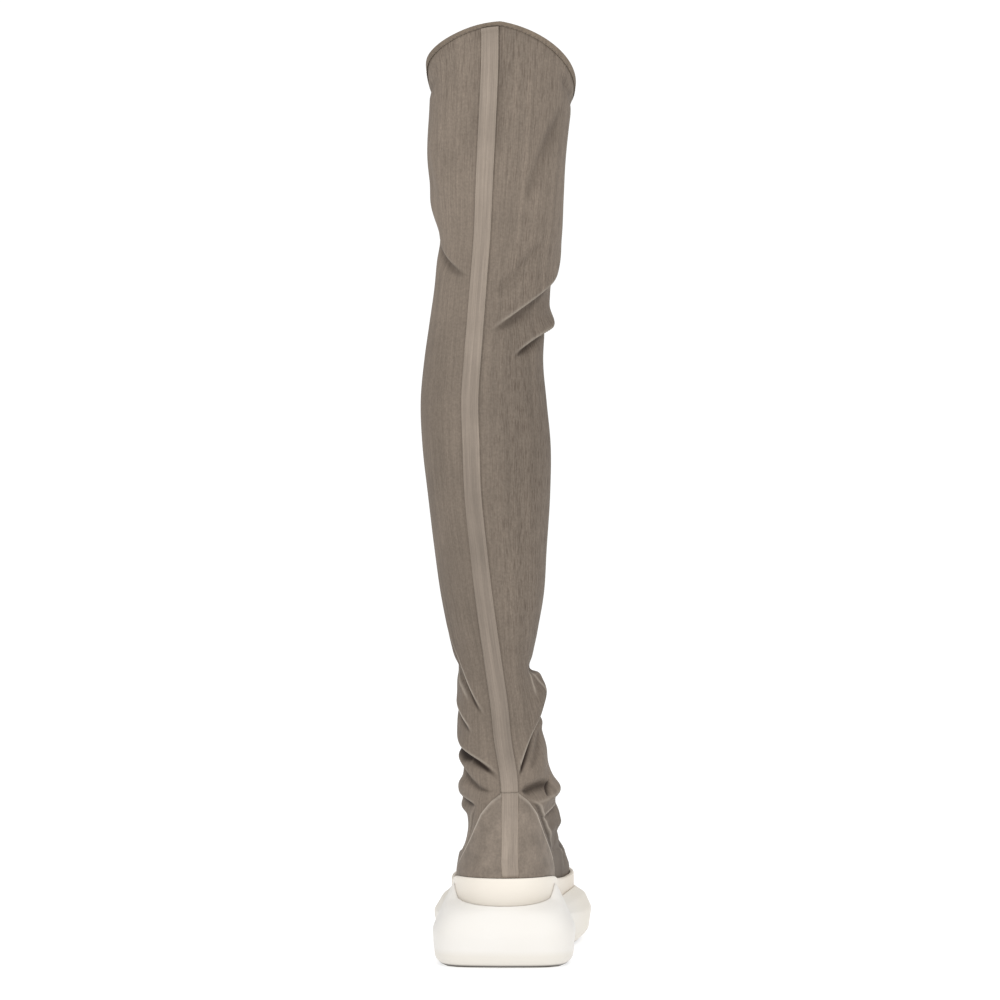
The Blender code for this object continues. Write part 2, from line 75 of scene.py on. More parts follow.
class Section(NamedTuple):
    """A cross-section of the upper from a back point to a front point; pitch spaces the rows below it."""

    name: str
    back_x: float
    back_y: float
    back_z: float
    front_x: float
    front_y: float
    front_z: float
    half_width: float
    medial_drop: float
    lateral_drop: float
    foot_share: float
    seam_deg: float
    pitch: float


SECTIONS = (
    Section("collar", -2.0, -47.0, 748.0, -3.0, 86.0, 688.0, 59.0, 10.0, 3.0, 0.0, -8.0, 2.5),
    Section("hem", -3.0, -46.0, 722.0, -4.0, 86.0, 672.0, 57.5, 7.0, 2.0, 0.0, -7.4, 4.0),
    Section("thigh", -7.0, -43.0, 660.0, -7.0, 84.0, 634.0, 56.0, 3.0, 1.0, 0.0, -6.2, 4.0),
    Section("thigh_low", -6.5, -40.0, 620.0, -6.5, 82.0, 608.0, 54.0, 0.0, 0.0, 0.0, -9.2, 2.5),
    Section("above_knee", -4.5, -36.0, 584.0, -4.5, 79.0, 582.0, 50.5, 0.0, 0.0, 0.0, -14.0, 1.3),
    Section("knee", -8.0, -31.0, 548.0, -8.0, 76.0, 550.0, 48.5, 0.0, 0.0, 0.0, -13.8, 1.2),
    Section("knee_back", -14.0, -31.0, 512.0, -14.0, 73.0, 514.0, 47.2, 0.0, 0.0, 0.0, -10.2, 1.2),
    Section("below_knee", -17.0, -36.0, 484.0, -17.0, 70.0, 485.0, 48.0, 0.0, 0.0, 0.0, -8.8, 3.0),
    Section("calf_high", -17.0, -44.0, 450.0, -17.0, 66.0, 450.0, 50.8, 0.0, 0.0, 0.0, -10.6, 4.5),
    Section("calf", -14.5, -50.0, 414.0, -14.5, 63.0, 414.0, 51.7, 0.0, 0.0, 0.0, -12.0, 4.5),
    Section("calf_low", -12.5, -50.0, 375.0, -12.5, 62.0, 375.0, 49.3, 0.0, 0.0, 0.0, -13.2, 4.5),
    Section("shin", -11.3, -43.0, 330.0, -11.3, 61.0, 330.0, 45.2, 0.0, 0.0, 0.0, -10.3, 4.0),
    Section("shin_low", -10.0, -36.0, 293.0, -10.0, 61.0, 294.0, 41.5, 0.0, 0.0, 0.0, -7.5, 2.2),
    Section("ankle_top", -9.7, -31.0, 262.0, -9.7, 61.0, 265.0, 36.0, 0.0, 0.0, 0.0, -2.6, 1.1),
    Section("slouch_top", -9.0, -28.0, 235.0, -9.0, 62.0, 241.0, 31.0, 0.0, 0.0, 0.0, 2.7, 1.0),
    Section("slouch", -6.0, -25.0, 205.0, -6.0, 63.0, 215.0, 32.5, 0.0, 0.0, 0.0, 4.7, 1.0),
    Section("slouch_low", -5.0, -24.5, 178.0, -4.0, 65.0, 194.0, 33.8, 0.0, 0.0, 0.0, 7.4, 1.0),
    Section("ankle", -0.6, -27.0, 153.0, 2.0, 76.0, 172.0, 35.6, 0.0, 0.0, 0.0, 6.6, 1.0),
    Section("throat", 0.2, -31.5, 136.0, 5.0, 95.0, 147.0, 35.0, 0.0, 0.0, 0.08, 7.4, 1.2),
    Section("instep", 0.0, -36.0, 122.0, 6.0, 117.0, 122.0, 33.0, 0.0, 0.0, 0.2, 7.4, 1.6),
    Section("vamp", 0.0, -39.5, 110.0, 6.5, 142.0, 102.0, 30.0, 0.0, 0.0, 0.32, 7.2, 2.0),
    Section("ball", 0.0, -41.5, 98.0, 6.5, 174.0, 86.0, 31.5, 0.0, 0.0, 0.45, 6.5, 2.4),
    Section("toe_box", 0.0, -42.0, 88.0, 4.5, 206.0, 76.0, 35.0, 0.0, 0.0, 0.6, 5.6, 2.4),
    Section("toe", 0.0, -41.8, 80.0, 1.5, 235.0, 69.0, 38.5, 0.0, 0.0, 0.76, 5.0, 2.4),
)


class Outline(NamedTuple):
    """Half widths of the last in plan, at an angle counted from the heel's back to the toe's tip."""

    angle: float
    medial: float
    lateral: float


LAST_OUTLINE = (
    Outline(0.0, 0.0, 0.0),
    Outline(20.0, 21.5, 21.5),
    Outline(40.0, 34.0, 34.0),
    Outline(60.0, 37.5, 38.0),
    Outline(80.0, 38.5, 40.5),
    Outline(100.0, 46.0, 43.5),
    Outline(115.0, 50.0, 43.5),
    Outline(130.0, 49.5, 40.0),
    Outline(145.0, 42.5, 31.0),
    Outline(162.0, 28.0, 14.5),
    Outline(180.0, 8.0, -8.0),
)


class Level(NamedTuple):
    """Heights along the foot of the tread, the seat of the upper and the foxing's top edge."""

    along: float
    tread: float
    seat: float
    band_top: float


LEVELS = (
    Level(-70.0, 0.0, 42.0, 70.5),
    Level(0.0, 0.0, 41.0, 68.0),
    Level(38.0, 0.0, 37.5, 64.0),
    Level(65.0, 2.5, 33.5, 60.5),
    Level(95.0, 2.5, 30.0, 57.5),
    Level(120.0, 0.0, 28.5, 56.0),
    Level(150.0, 0.0, 28.0, 55.5),
    Level(190.0, 0.0, 28.0, 55.5),
    Level(220.0, 4.0, 30.0, 57.0),
    Level(275.0, 13.0, 37.0, 63.0),
)


class Flank(NamedTuple):
    """The outsole's side at an outline angle: lip height, then how far and high its edges stand.

    The foot is cut off, as high over the tread as it stands out from it.
    """

    angle: float
    lip: float
    shoulder_out: float
    shoulder: float
    belly_out: float
    belly: float
    foot_out: float
    foot: float


FLANKS = (
    Flank(0.0, 47.8, 7.0, 43.5, 15.8, 27.0, 13.3, 5.0),
    Flank(5.0, 47.8, 7.4, 43.5, 16.1, 27.0, 13.6, 5.0),
    Flank(10.0, 48.0, 9.2, 43.5, 18.0, 27.0, 15.5, 5.0),
    Flank(15.0, 48.3, 12.6, 43.5, 22.0, 27.0, 19.5, 5.0),
    Flank(20.0, 48.8, 16.6, 43.5, 27.0, 27.0, 24.5, 5.0),
    Flank(25.0, 49.4, 17.0, 44.5, 28.5, 27.0, 26.0, 5.0),
    Flank(30.0, 50.0, 14.8, 45.5, 26.0, 27.0, 23.5, 5.0),
    Flank(36.0, 51.2, 12.0, 46.5, 22.3, 27.0, 20.0, 5.0),
    Flank(38.0, 52.0, 11.2, 46.8, 21.0, 27.3, 18.7, 5.0),
    Flank(42.0, 56.0, 10.0, 47.0, 19.2, 27.6, 17.0, 5.0),
    Flank(46.0, 60.0, 9.2, 47.0, 17.8, 28.0, 15.6, 5.0),
    Flank(48.0, 61.5, 8.8, 47.0, 17.1, 28.0, 15.0, 5.0),
    Flank(52.0, 57.5, 7.6, 43.5, 14.8, 27.0, 12.5, 5.0),
    Flank(58.0, 50.0, 7.0, 41.0, 12.4, 29.0, 9.5, 5.0),
    Flank(65.0, 43.5, 6.5, 38.5, 11.0, 32.0, 7.5, 5.0),
    Flank(70.0, 40.0, 6.5, 36.0, 11.0, 31.5, 6.5, 5.0),
    Flank(80.0, 41.5, 7.5, 36.5, 12.6, 30.0, 9.0, 6.0),
    Flank(95.0, 43.3, 8.5, 38.0, 15.0, 27.5, 12.5, 8.0),
    Flank(105.0, 43.8, 9.0, 38.0, 16.6, 27.0, 14.0, 9.0),
    Flank(115.0, 43.6, 9.0, 38.0, 15.4, 26.5, 12.8, 9.0),
    Flank(130.0, 42.0, 9.5, 36.5, 13.5, 26.0, 11.0, 8.0),
    Flank(145.0, 43.0, 9.0, 36.5, 12.0, 26.0, 9.0, 7.0),
    Flank(160.0, 45.0, 8.5, 38.0, 12.0, 27.0, 8.5, 7.0),
    Flank(180.0, 46.0, 8.5, 39.0, 12.5, 28.0, 8.5, 7.0),
)


class Fold(NamedTuple):
    """A broad fold of the slack shaft, from its deep end to where it fades, medial angles positive."""

    name: str
    from_deg: float
    from_z: float
    to_deg: float
    to_z: float
    half_width: float
    lift: float


FOLDS = (
    Fold("knee_medial_roll", 88.0, 562.0, 20.0, 518.0, 10.0, 1.5),
    Fold("knee_medial_crease", 88.0, 538.0, 15.0, 503.0, 8.0, -3.0),
    Fold("knee_medial_tip", 90.0, 515.0, 35.0, 493.0, 7.0, 6.0),
    Fold("knee_lateral_roll", -90.0, 612.0, -35.0, 572.0, 12.0, 1.5),
    Fold("knee_lateral_crease", -90.0, 588.0, -30.0, 550.0, 11.0, -3.5),
    Fold("ankle_medial_bulge", 95.0, 218.0, 40.0, 190.0, 13.0, 7.0),
    Fold("ankle_medial_crease", 88.0, 192.0, 20.0, 152.0, 8.0, -2.5),
    Fold("ankle_medial_roll", 95.0, 136.0, 35.0, 130.0, 8.0, 5.0),
    Fold("ankle_lateral_roll", -88.0, 184.0, -15.0, 156.0, 8.0, 2.0),
    Fold("ankle_lateral_crease", -68.0, 164.0, -12.0, 142.0, 7.0, -3.0),
    Fold("ankle_lateral_bulge", -92.0, 134.0, -45.0, 132.0, 8.0, 4.0),
    Fold("collar_lateral_corner", -68.0, 728.0, -25.0, 742.0, 14.0, 3.5),
    Fold("instep_medial_swell", 105.0, 113.0, 55.0, 108.0, 9.0, 4.5),
)


class Tuck(NamedTuple):
    """A crease with a lip on the left of its run and a trough on the right, in degrees and heights.

    The shade is painted shade in the trough, and the last column is a painted highlight along the lip.
    """

    name: str
    start_deg: float
    start_z: float
    middle_deg: float
    middle_z: float
    end_deg: float
    end_z: float
    lip: float
    lip_width: float
    trough: float
    trough_width: float
    edge: float
    overhang: float
    shade: float
    highlight_and_bare: float


TUCKS = (
    Tuck("knee_medial_flap", 4, 502, 47, 531.5, 104, 562, 1.6, 9.0, 3.2, 7.0, 1.8, 1.2, 0.4, 0.3),
    Tuck("knee_medial_tip", 30, 482, 58, 501, 105, 516, 2.0, 6.0, 4.5, 5.0, 1.8, 1.2, 0.6, 0.3),
    Tuck("knee_medial_soft", -2, 532, 14, 551, 48, 582, 0.9, 10.0, 1.6, 9.0, 4.0, 0.0, 0.12, 0.0),
    Tuck("knee_lateral_flap", -102, 592, -55, 565.5, -22, 547, 1.5, 9.0, 3.2, 8.0, 2.2, 0.8, 0.35, 0.1),
    Tuck("thigh_ridge", 10, 616, 21, 655, 38, 694, 1.9, 8.0, 0.0, 8.0, 8.0, 0.0, 0.0, 0.0),
    Tuck("thigh_medial_drape", 24, 602, 39, 650, 66, 690, 0.9, 10.0, 2.6, 10.0, 7.0, 0.0, 0.26, 0.0),
    Tuck("thigh_inner_drape", -8, 628, -4.5, 690, -6, 746, 0.0, 8.0, 0.8, 9.0, 6.0, 0.0, 0.3, 0.0),
    Tuck("thigh_lateral_drape", -75, 670, -64, 634, -55, 600, 1.0, 12.0, 0.8, 10.0, 6.0, 0.0, 0.0, 0.0),
    Tuck("thigh_lateral_ease", -130, 622, -92, 620, -55, 616, -1.5, 16.0, 0.0, 8.0, 16.0, 0.0, 0.0, 0.0),
    Tuck("collar_lateral_pinch", -118, 700, -88, 702, -55, 712, 0.0, 5.0, 1.6, 4.0, 3.0, 0.0, 0.2, 0.0),
    Tuck("collar_medial_pinch", 55, 712, 84, 698, 112, 690, 0.0, 5.0, 2.2, 5.0, 3.0, 0.0, 0.2, 0.0),
    Tuck("ankle_lateral_ridge", -86, 284, -47, 229, -14, 195, 1.0, 8.0, 3.0, 5.5, 1.6, 0.6, 0.8, 0.45),
    Tuck("ankle_lateral_hollow", -125, 242, -86, 240, -54, 227, 0.0, 6.0, 3.2, 8.0, 8.0, 0.0, 0.3, 0.0),
    Tuck("ankle_lateral_wing", -42, 206, -60, 223.5, -98, 243, 1.4, 7.0, 1.2, 3.5, 2.0, 0.0, 0.15, 0.3),
    Tuck("ankle_lateral_notch", -105, 212, -64, 198.5, -36, 182, 0.8, 6.0, 2.6, 5.5, 1.6, 0.8, 0.65, 0.6),
    Tuck("ankle_lateral_ease", -125, 183, -86, 184, -48, 176, -1.8, 9.0, 0.0, 4.0, 9.0, 0.0, 0.0, 0.0),
    Tuck("ankle_lateral_deep", -125, 184, -40, 165.5, -4, 145.5, 1.0, 8.0, 4.5, 6.4, 2.0, 1.2, 1.0, 0.3),
    # Painted shade only: a dark band under the deep fold, with almost no change of shape
    Tuck("ankle_lateral_mouth", -125, 183, -78, 172, -36, 161, 0.0, 5.0, 0.0, 7.5, 2.0, 0.05, 1.0, 0.0),
    Tuck("ankle_lateral_shelf", -120, 168, -62, 158.5, -14, 146, 3.0, 5.5, 0.0, 4.0, 5.0, 0.0, 0.0, 0.0),
    Tuck("ankle_lateral_low", -105, 167, -46, 145, -6, 138.5, 0.0, 6.0, 3.0, 4.2, 4.0, 0.0, 0.6, 0.0),
    Tuck("ankle_lateral_roll", -125, 143, -84, 141.5, -46, 139, 3.2, 5.0, 0.0, 4.0, 5.0, 0.0, 0.0, 0.0),
    Tuck("ankle_lateral_pocket", -100, 136, -60, 130, -34, 125.5, 1.0, 5.0, 3.0, 4.0, 1.8, 0.8, 0.8, 0.2),
    Tuck("ankle_lateral_under", -115, 124, -80, 122.5, -56, 120, 3.2, 4.0, 0.0, 4.0, 4.0, 0.0, 0.0, 0.0),
    Tuck("ankle_medial_flap", 17, 146, 44, 175.5, 100, 210, 1.2, 9.0, 3.6, 4.4, 1.6, 0.3, 1.0, 0.4),
    Tuck("ankle_medial_shadow", 34, 153, 54, 170, 86, 188, 0.0, 6.0, 1.6, 5.0, 5.0, 0.0, 0.3, 0.0),
    Tuck("ankle_medial_cheek", 36, 156, 54, 160, 80, 162, 1.0, 8.0, 0.0, 8.0, 8.0, 0.0, 0.0, 0.0),
    Tuck("ankle_medial_ease", 60, 158, 92, 159, 130, 160, -2.4, 11.0, 0.0, 4.0, 11.0, 0.0, 0.0, 0.0),
    Tuck("ankle_medial_nub", 68, 187, 94, 190, 128, 194, 2.4, 4.5, 0.0, 3.0, 4.5, 0.0, 0.0, 0.0),
    Tuck("pouch_top", 145, 229, 94, 230, 60, 228, 1.5, 6.0, 4.0, 7.0, 2.6, 0.3, 0.2, 0.1),
    Tuck("pouch_side", 120, 212, 92, 215, 66, 216, 1.4, 9.0, 0.0, 4.0, 9.0, 0.0, 0.0, 0.0),
    Tuck("pouch_outer_rib", 73, 234, 82, 224, 88, 210, 0.6, 2.4, 0.5, 2.4, 2.2, 0.0, 0.12, 0.32),
    Tuck("pouch_inner_rib", 66, 235, 69, 224, 66, 210, 0.6, 2.4, 0.5, 2.4, 2.2, 0.0, 0.12, 0.32),
    Tuck("ankle_medial_pocket", 57, 132, 66, 141, 82, 153, 1.2, 4.0, 3.5, 4.8, 1.8, 0.2, 1.0, 0.0),
    Tuck("ankle_medial_valley", 18, 138, 45, 143.5, 76, 144, 0.0, 5.0, 5.0, 6.0, 5.0, 0.0, 0.75, 0.0),
    Tuck("ankle_medial_roll", 24, 130.5, 58, 129.5, 112, 143, 2.4, 4.5, 0.0, 4.0, 5.0, 0.0, 0.0, 0.15),
    Tuck("ankle_medial_under", 54, 115.5, 76, 119, 112, 125, 1.0, 4.0, 2.0, 3.0, 1.6, 0.5, 0.35, 0.45),
    Tuck("medial_pleat", 29, 131, 61, 114.5, 78, 82, 1.0, 3.0, 1.6, 3.2, 1.6, 0.4, 0.4, 0.45),
    Tuck("medial_heel_swell", 66, 104, 96, 104, 130, 105, 3.8, 6.0, 0.0, 3.0, 6.0, 0.0, 0.0, 0.0),
    Tuck("medial_heel_hollow", 66, 83, 96, 83, 130, 83, -2.2, 5.0, 0.0, 3.0, 5.0, 0.0, 0.0, 0.0),
    Tuck("medial_pleat_upright", 82, 78, 94, 104, 100, 126, 0.9, 6.0, 2.2, 6.0, 5.0, 0.0, 0.5, 0.3),
    Tuck("medial_pleat_low", 100, 58, 104, 74, 112, 96, 0.8, 6.0, 1.6, 6.0, 5.0, 0.0, 0.5, 0.3),
    Tuck("lateral_pleat", -60, 78, -53, 110, -34, 129, 1.0, 3.0, 1.6, 2.5, 1.6, 0.3, 0.3, 0.3),
    Tuck("front_high", 125, 216, 180, 226, 235, 214, 2.0, 9.0, 3.0, 7.0, 2.6, 1.2, 0.35, 0.2),
    Tuck("front_middle", 118, 190, 180, 203, 242, 192, 2.0, 9.0, 3.0, 7.0, 2.6, 1.2, 0.35, 0.2),
    Tuck("front_low", 112, 160, 180, 178, 248, 163, 2.0, 9.0, 3.0, 7.0, 2.6, 1.2, 0.35, 0.2),
    Tuck("front_throat", 105, 136, 180, 154, 255, 138, 1.8, 8.0, 2.6, 7.0, 2.6, 1.0, 0.35, 0.2),
    Tuck("knee_front", 130, 530, 180, 540, 230, 528, 0.8, 10.0, 0.8, 8.0, 5.0, 0.0, 0.0, 0.0),
)


class Edge(NamedTuple):
    """Height of the counters' top edge at an angle from the back stay."""

    angle: float
    height: float


COUNTER_EDGE = (
    Edge(0.0, 140.0),
    Edge(9.0, 137.0),
    Edge(22.0, 130.0),
    Edge(34.0, 120.0),
    Edge(43.0, 108.0),
    Edge(49.0, 95.0),
    Edge(54.0, 82.0),
    Edge(57.0, 60.0),
)


class Tone(NamedTuple):
    """Painted shade of the skin and stay by height, darkest low on the medial side, and pore strength."""

    height: float
    lateral: float
    medial: float
    stay: float
    lateral_pores: float
    medial_pores: float


TONES = (
    Tone(60.0, 0.85, 0.6, 1.0, 0.1, 0.1),
    Tone(105.0, 0.88, 0.66, 1.0, 0.1, 0.1),
    Tone(140.0, 0.9, 0.88, 0.94, 0.1, 0.15),
    Tone(165.0, 0.84, 0.85, 0.74, 0.2, 0.3),
    Tone(212.0, 0.75, 0.77, 0.75, 0.3, 0.7),
    Tone(275.0, 0.73, 0.79, 0.79, 0.5, 1.0),
    Tone(331.0, 0.79, 0.81, 0.73, 0.35, 1.0),
    Tone(410.0, 0.8, 0.72, 0.82, 0.35, 1.0),
    Tone(489.0, 0.85, 0.76, 0.93, 0.3, 1.0),
    Tone(560.0, 0.96, 0.86, 0.96, 0.25, 0.8),
    Tone(608.0, 1.05, 0.94, 0.97, 0.3, 0.5),
    Tone(671.0, 0.96, 0.87, 0.97, 0.4, 0.6),
    Tone(720.0, 0.94, 0.86, 0.93, 0.6, 0.7),
    Tone(750.0, 0.9, 0.8, 0.9, 0.8, 0.8),
)


def columns_of(table: Sequence[Any], name: str) -> Array:
    """One named column of a table as an array."""
    return np.array([getattr(row, name) for row in table], dtype=float)


def between(share: Array, span: Array, ends: Sequence[Array], slopes: Sequence[Array]) -> Array:
    """Cubic between two values: a soft step, plus what the slopes at both ends add.

    Args:
        share: how far along, from 0 to 1.
        span: distance between the two knots.
        ends: the values at both knots.
        slopes: the slopes there.

    Returns:
        The values between.
    """
    rise = share * share * (3.0 - 2.0 * share)
    leave = share * (1.0 - share) ** 2 * span * slopes[0]
    arrive = share * share * (share - 1.0) * span * slopes[1]
    return ends[0] * (1.0 - rise) + ends[1] * rise + leave + arrive


def smooth(knots: Array, values: Array, at: Array) -> Array:
    """Read a cubic curve that passes the knots with the slope between their neighbours.

    Args:
        knots: places of the known values, rising.
        values: the known values.
        at: places to read.

    Returns:
        The curve's values there.
    """
    slopes = np.gradient(values, knots)
    low = np.clip(np.searchsorted(knots, at, side="right") - 1, 0, len(knots) - 2)
    span = knots[low + 1] - knots[low]
    ends, leans = (values[low], values[low + 1]), (slopes[low], slopes[low + 1])
    return between((at - knots[low]) / span, span, ends, leans)


def ease(share: Array) -> Array:
    """A soft step from 0 to 1: three times the square less twice the cube."""
    share = np.clip(share, 0.0, 1.0)
    return share * share * (3.0 - 2.0 * share)


def bell(distance: Array, width: float) -> Array:
    """A bell of height 1: e to the minus squared distance in widths."""
    return np.exp(-((distance / width) ** 2))


def unit(vectors: Array) -> Array:
    """Vectors brought to length 1."""
    return vectors / np.maximum(np.linalg.norm(vectors, axis=-1, keepdims=True), 1e-9)


def from_seam(turn: Array) -> Array:
    """Angle from the back seam in degrees, medial ones positive."""
    return (np.degrees(turn) + 180.0) % 360.0 - 180.0


def passed_along(line: Array) -> Array:
    """Length of a line of points from its first one to each of them."""
    return np.concatenate(((0.0,), np.cumsum(np.linalg.norm(np.diff(line, axis=0), axis=1))))


@dataclass(frozen=True)
class BootForm:
    """The surfaces that every piece of the boot lies on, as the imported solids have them."""

    gap: float = 0.35
    wall: float = 1.8
    heel_back: float = -41.0
    toe_tip: float = 248.0
    wall_rise: float = 4.0
    stay_half_width: float = 7.0
    seam_height: float = 136.8
    fold_fade_deg: float = 30.0
    stiff_margin: float = 5.0
    stiff_fade: float = 7.0
    tries: int = 600

    def level(self, name: str, along: Array) -> Array:
        """Height of the tread, seat or foxing top at a distance along the foot."""
        knots = columns_of(LEVELS, "along")
        if name == "tread":
            return np.interp(along, knots, columns_of(LEVELS, name))
        return smooth(knots, columns_of(LEVELS, name), along)

    def last_x(self, angle: Array) -> Array:
        """Sideways place of the last's outline at an angle in radians, counted round the foot."""
        stops = columns_of(LAST_OUTLINE, "angle")
        turn = np.concatenate((stops, 360.0 - stops[-2:0:-1]))
        medial, lateral = columns_of(LAST_OUTLINE, "medial"), columns_of(LAST_OUTLINE, "lateral")
        side = np.concatenate((medial, -lateral[-2:0:-1]))
        knots = np.concatenate((turn - 360.0, turn, turn + 360.0))
        return smooth(knots, np.tile(side, 3), np.degrees(angle) % 360.0)

    def last_outline(self, angle: Array, out: Any = 0.0) -> Array:
        """Plan points of the last's outline, moved outwards along its normal by `out`."""

        def plan(turn: Array) -> Array:
            """Sideways from the table, lengthwise as the cosine of the angle."""
            along = self.heel_back + (self.toe_tip - self.heel_back) * (1.0 - np.cos(turn)) / 2.0
            return np.stack((self.last_x(turn), along), axis=-1)

        run = plan(angle + STEP_OUTLINE) - plan(angle - STEP_OUTLINE)
        outward = unit(np.stack((run[..., 1], -run[..., 0]), axis=-1))
        return plan(angle) + outward * np.asarray(out)[..., None]

    def section_ring(self, section: Section, turn: Array) -> Array:
        """Points of one section: an oval blended into the last's outline, its sides dropped."""
        angle = turn + math.radians(section.seam_deg)
        share = (1.0 - np.cos(angle)) / 2.0
        oval = section.half_width * np.sin(angle)
        x = section.back_x + (section.front_x - section.back_x) * share
        x = x + oval * (1.0 - section.foot_share) + self.last_x(angle) * section.foot_share
        y = section.back_y + (section.front_y - section.back_y) * share
        z = section.back_z + (section.front_z - section.back_z) * share
        drop = np.where(oval > 0.0, section.medial_drop, section.lateral_drop)
        return np.stack((x, y, z - drop * np.abs(np.sin(angle))), axis=-1)

    def wall_ring(self, turn: Array, at_seat: bool) -> Array:
        """The upright foot of the upper, at the seat or just over the foxing."""
        plan = self.last_outline(turn + math.radians(SECTIONS[-1].seam_deg))
        along = plan[..., 1]
        seat, over_band = self.level("seat", along) + self.gap, self.level("band_top", along) + self.wall_rise
        return np.append(plan, (seat if at_seat else over_band)[..., None], axis=-1)

    @cached_property
    def stops(self) -> Array:
        """Distance down the upper of each section and of the upright wall's top and foot."""
        ends = [np.array((s.back_y, s.back_z, s.front_y, s.front_z)) for s in SECTIONS]
        for at_seat in (False, True):
            back, front = self.wall_ring(np.array((0.0, math.pi)), at_seat)
            ends.append(np.array((back[1], back[2], front[1], front[2])))
        moves = np.diff(np.array(ends), axis=0)
        lengths = np.hypot(moves[:, 0], moves[:, 1]) + np.hypot(moves[:, 2], moves[:, 3])
        return np.concatenate(((0.0,), np.cumsum(lengths / 2.0)))

    @property
    def wall_top(self) -> float:
        """Distance down the upper of its upright foot's top."""
        return float(self.stops[-2])

    @property
    def feather(self) -> float:
        """Distance down the upper of its lowest edge."""
        return float(self.stops[-1])

    def unfolded(self, down: Array, turn: Array) -> Array:
        """Points of the upper before its folds: a cubic through the sections at each angle.

        Args:
            down: distance from the collar.
            turn: angle from the back seam in radians.

        Returns:
            The points, in millimetres.
        """
        down, turn = np.broadcast_arrays(down, turn)
        rings = np.stack([self.section_ring(s, turn) for s in SECTIONS] + [self.wall_ring(turn, False)])
        foot = self.wall_ring(turn, True)
        knots = self.stops[:-1]
        slopes = np.gradient(rings, knots, axis=0)
        slopes[-1] = (foot - rings[-1]) / (self.feather - self.wall_top)
        low = np.clip(np.searchsorted(knots, down, side="right") - 1, 0, len(knots) - 2)

        def pick(stack: Array, index: Array) -> Array:
            """The ring that each point hangs from."""
            return np.take_along_axis(stack, index[None, ..., None], axis=0)[0]

        span = (knots[low + 1] - knots[low])[..., None]
        share = np.clip((down - knots[low])[..., None] / span, 0.0, 1.0)
        ends, leans = ((pick(stack, low), pick(stack, low + 1)) for stack in (rings, slopes))
        points = between(share, span, ends, leans)
        sink = np.clip((down - self.wall_top) / (self.feather - self.wall_top), 0.0, 1.0)[..., None]
        return points + (foot - rings[-1]) * sink

    def outward(self, down: Array, turn: Array) -> Array:
        """Unit normals: the run down the upper crossed with the run round it."""
        fall = self.unfolded(down + STEP_DOWN, turn) - self.unfolded(down - STEP_DOWN, turn)
        around = self.unfolded(down, turn + STEP_TURN) - self.unfolded(down, turn - STEP_TURN)
        return unit(np.cross(fall, around))

    def seam_turn(self, down: Array) -> Array:
        """How far the back seam is turned to the medial side, in degrees."""
        return np.interp(down, self.stops[: len(SECTIONS)], columns_of(SECTIONS, "seam_deg"))

    def counter_top(self, angle: Array) -> Array:
        """Height of the counters' top edge at an angle in degrees from the back seam."""
        return np.interp(np.abs(angle), columns_of(COUNTER_EDGE, "angle"), columns_of(COUNTER_EDGE, "height"))

    def slack(self, turn: Array, height: Array) -> Array:
        """How freely the skin folds: 0 on the stiff counters, 1 clear of them."""
        over = height - self.counter_top(from_seam(turn)) - self.stiff_margin
        return np.clip(over / self.stiff_fade, 0.0, 1.0)

    def fold_lift(self, down: Array, turn: Array, height: Array) -> Array:
        """How far the broad folds push the wall out: bells across each fold's line, faded along it."""
        angle = from_seam(turn) + self.seam_turn(down)
        lift = np.zeros(np.shape(height))
        for fold in FOLDS:
            reach = fold.to_deg - fold.from_deg
            share = (angle - fold.from_deg) / reach
            before = self.fold_fade_deg / abs(reach)
            fade = ease(np.where(share < 0.0, 1.0 + share / before, 1.0 - share))
            line = fold.from_z + (fold.to_z - fold.from_z) * share
            lift += fold.lift * fade * bell(height - line, fold.half_width)
        return lift * self.slack(turn, height)

    def surface(self, down: Array, turn: Array, out: Any = 0.0) -> Array:
        """Points of the upper's outer face with its broad folds, moved `out` from it."""
        points = self.unfolded(down, turn)
        lift = self.fold_lift(down, turn, points[..., 2]) + out
        return points + self.outward(down, turn) * lift[..., None]

    def down_at_height(self, turn: Array, height: Any) -> Array:
        """How far down the upper it passes a height, at each angle."""
        tries = np.linspace(0.0, self.feather, self.tries)
        falling = -self.unfolded(tries[:, None], turn[None, :])[..., 2].T
        wanted = -np.broadcast_to(height, turn.shape)
        return np.array([np.interp(w, line, tries) for w, line in zip(wanted, falling)])

    def band_edge_down(self, turn: Array) -> Array:
        """How far down the upper the top edge of the foxing lies, at each angle."""
        along = self.unfolded(np.full(turn.shape, self.wall_top), turn)[:, 1]
        return self.down_at_height(turn, self.level("band_top", along) + self.gap)

    def turn_per_mm(self, down: Array) -> Array:
        """Angle in radians that a millimetre covers beside the back seam."""
        turn = np.full(np.shape(down), STEP_TURN)
        across = self.unfolded(down, turn) - self.unfolded(down, -turn)
        return 2.0 * STEP_TURN / np.linalg.norm(across, axis=-1)


def linear(colour: str) -> tuple[float, float, float, float]:
    """Turn an sRGB hex value to a linear colour with full alpha."""
    parts = np.array([int(colour[i : i + 2], 16) for i in (1, 3, 5)]) / 255.0
    lit = np.where(parts <= 0.04045, parts / 12.92, ((parts + 0.055) / 1.055) ** 2.4)
    return (float(lit[0]), float(lit[1]), float(lit[2]), 1.0)


def feed(tree: Any, node: Any, inputs: dict) -> None:
    """Link a socket to each named or numbered input of a node, or set its value."""
    for key, value in inputs.items():
        if isinstance(value, bpy.types.NodeSocket):
            tree.links.new(value, node.inputs[key])
        else:
            node.inputs[key].default_value = value


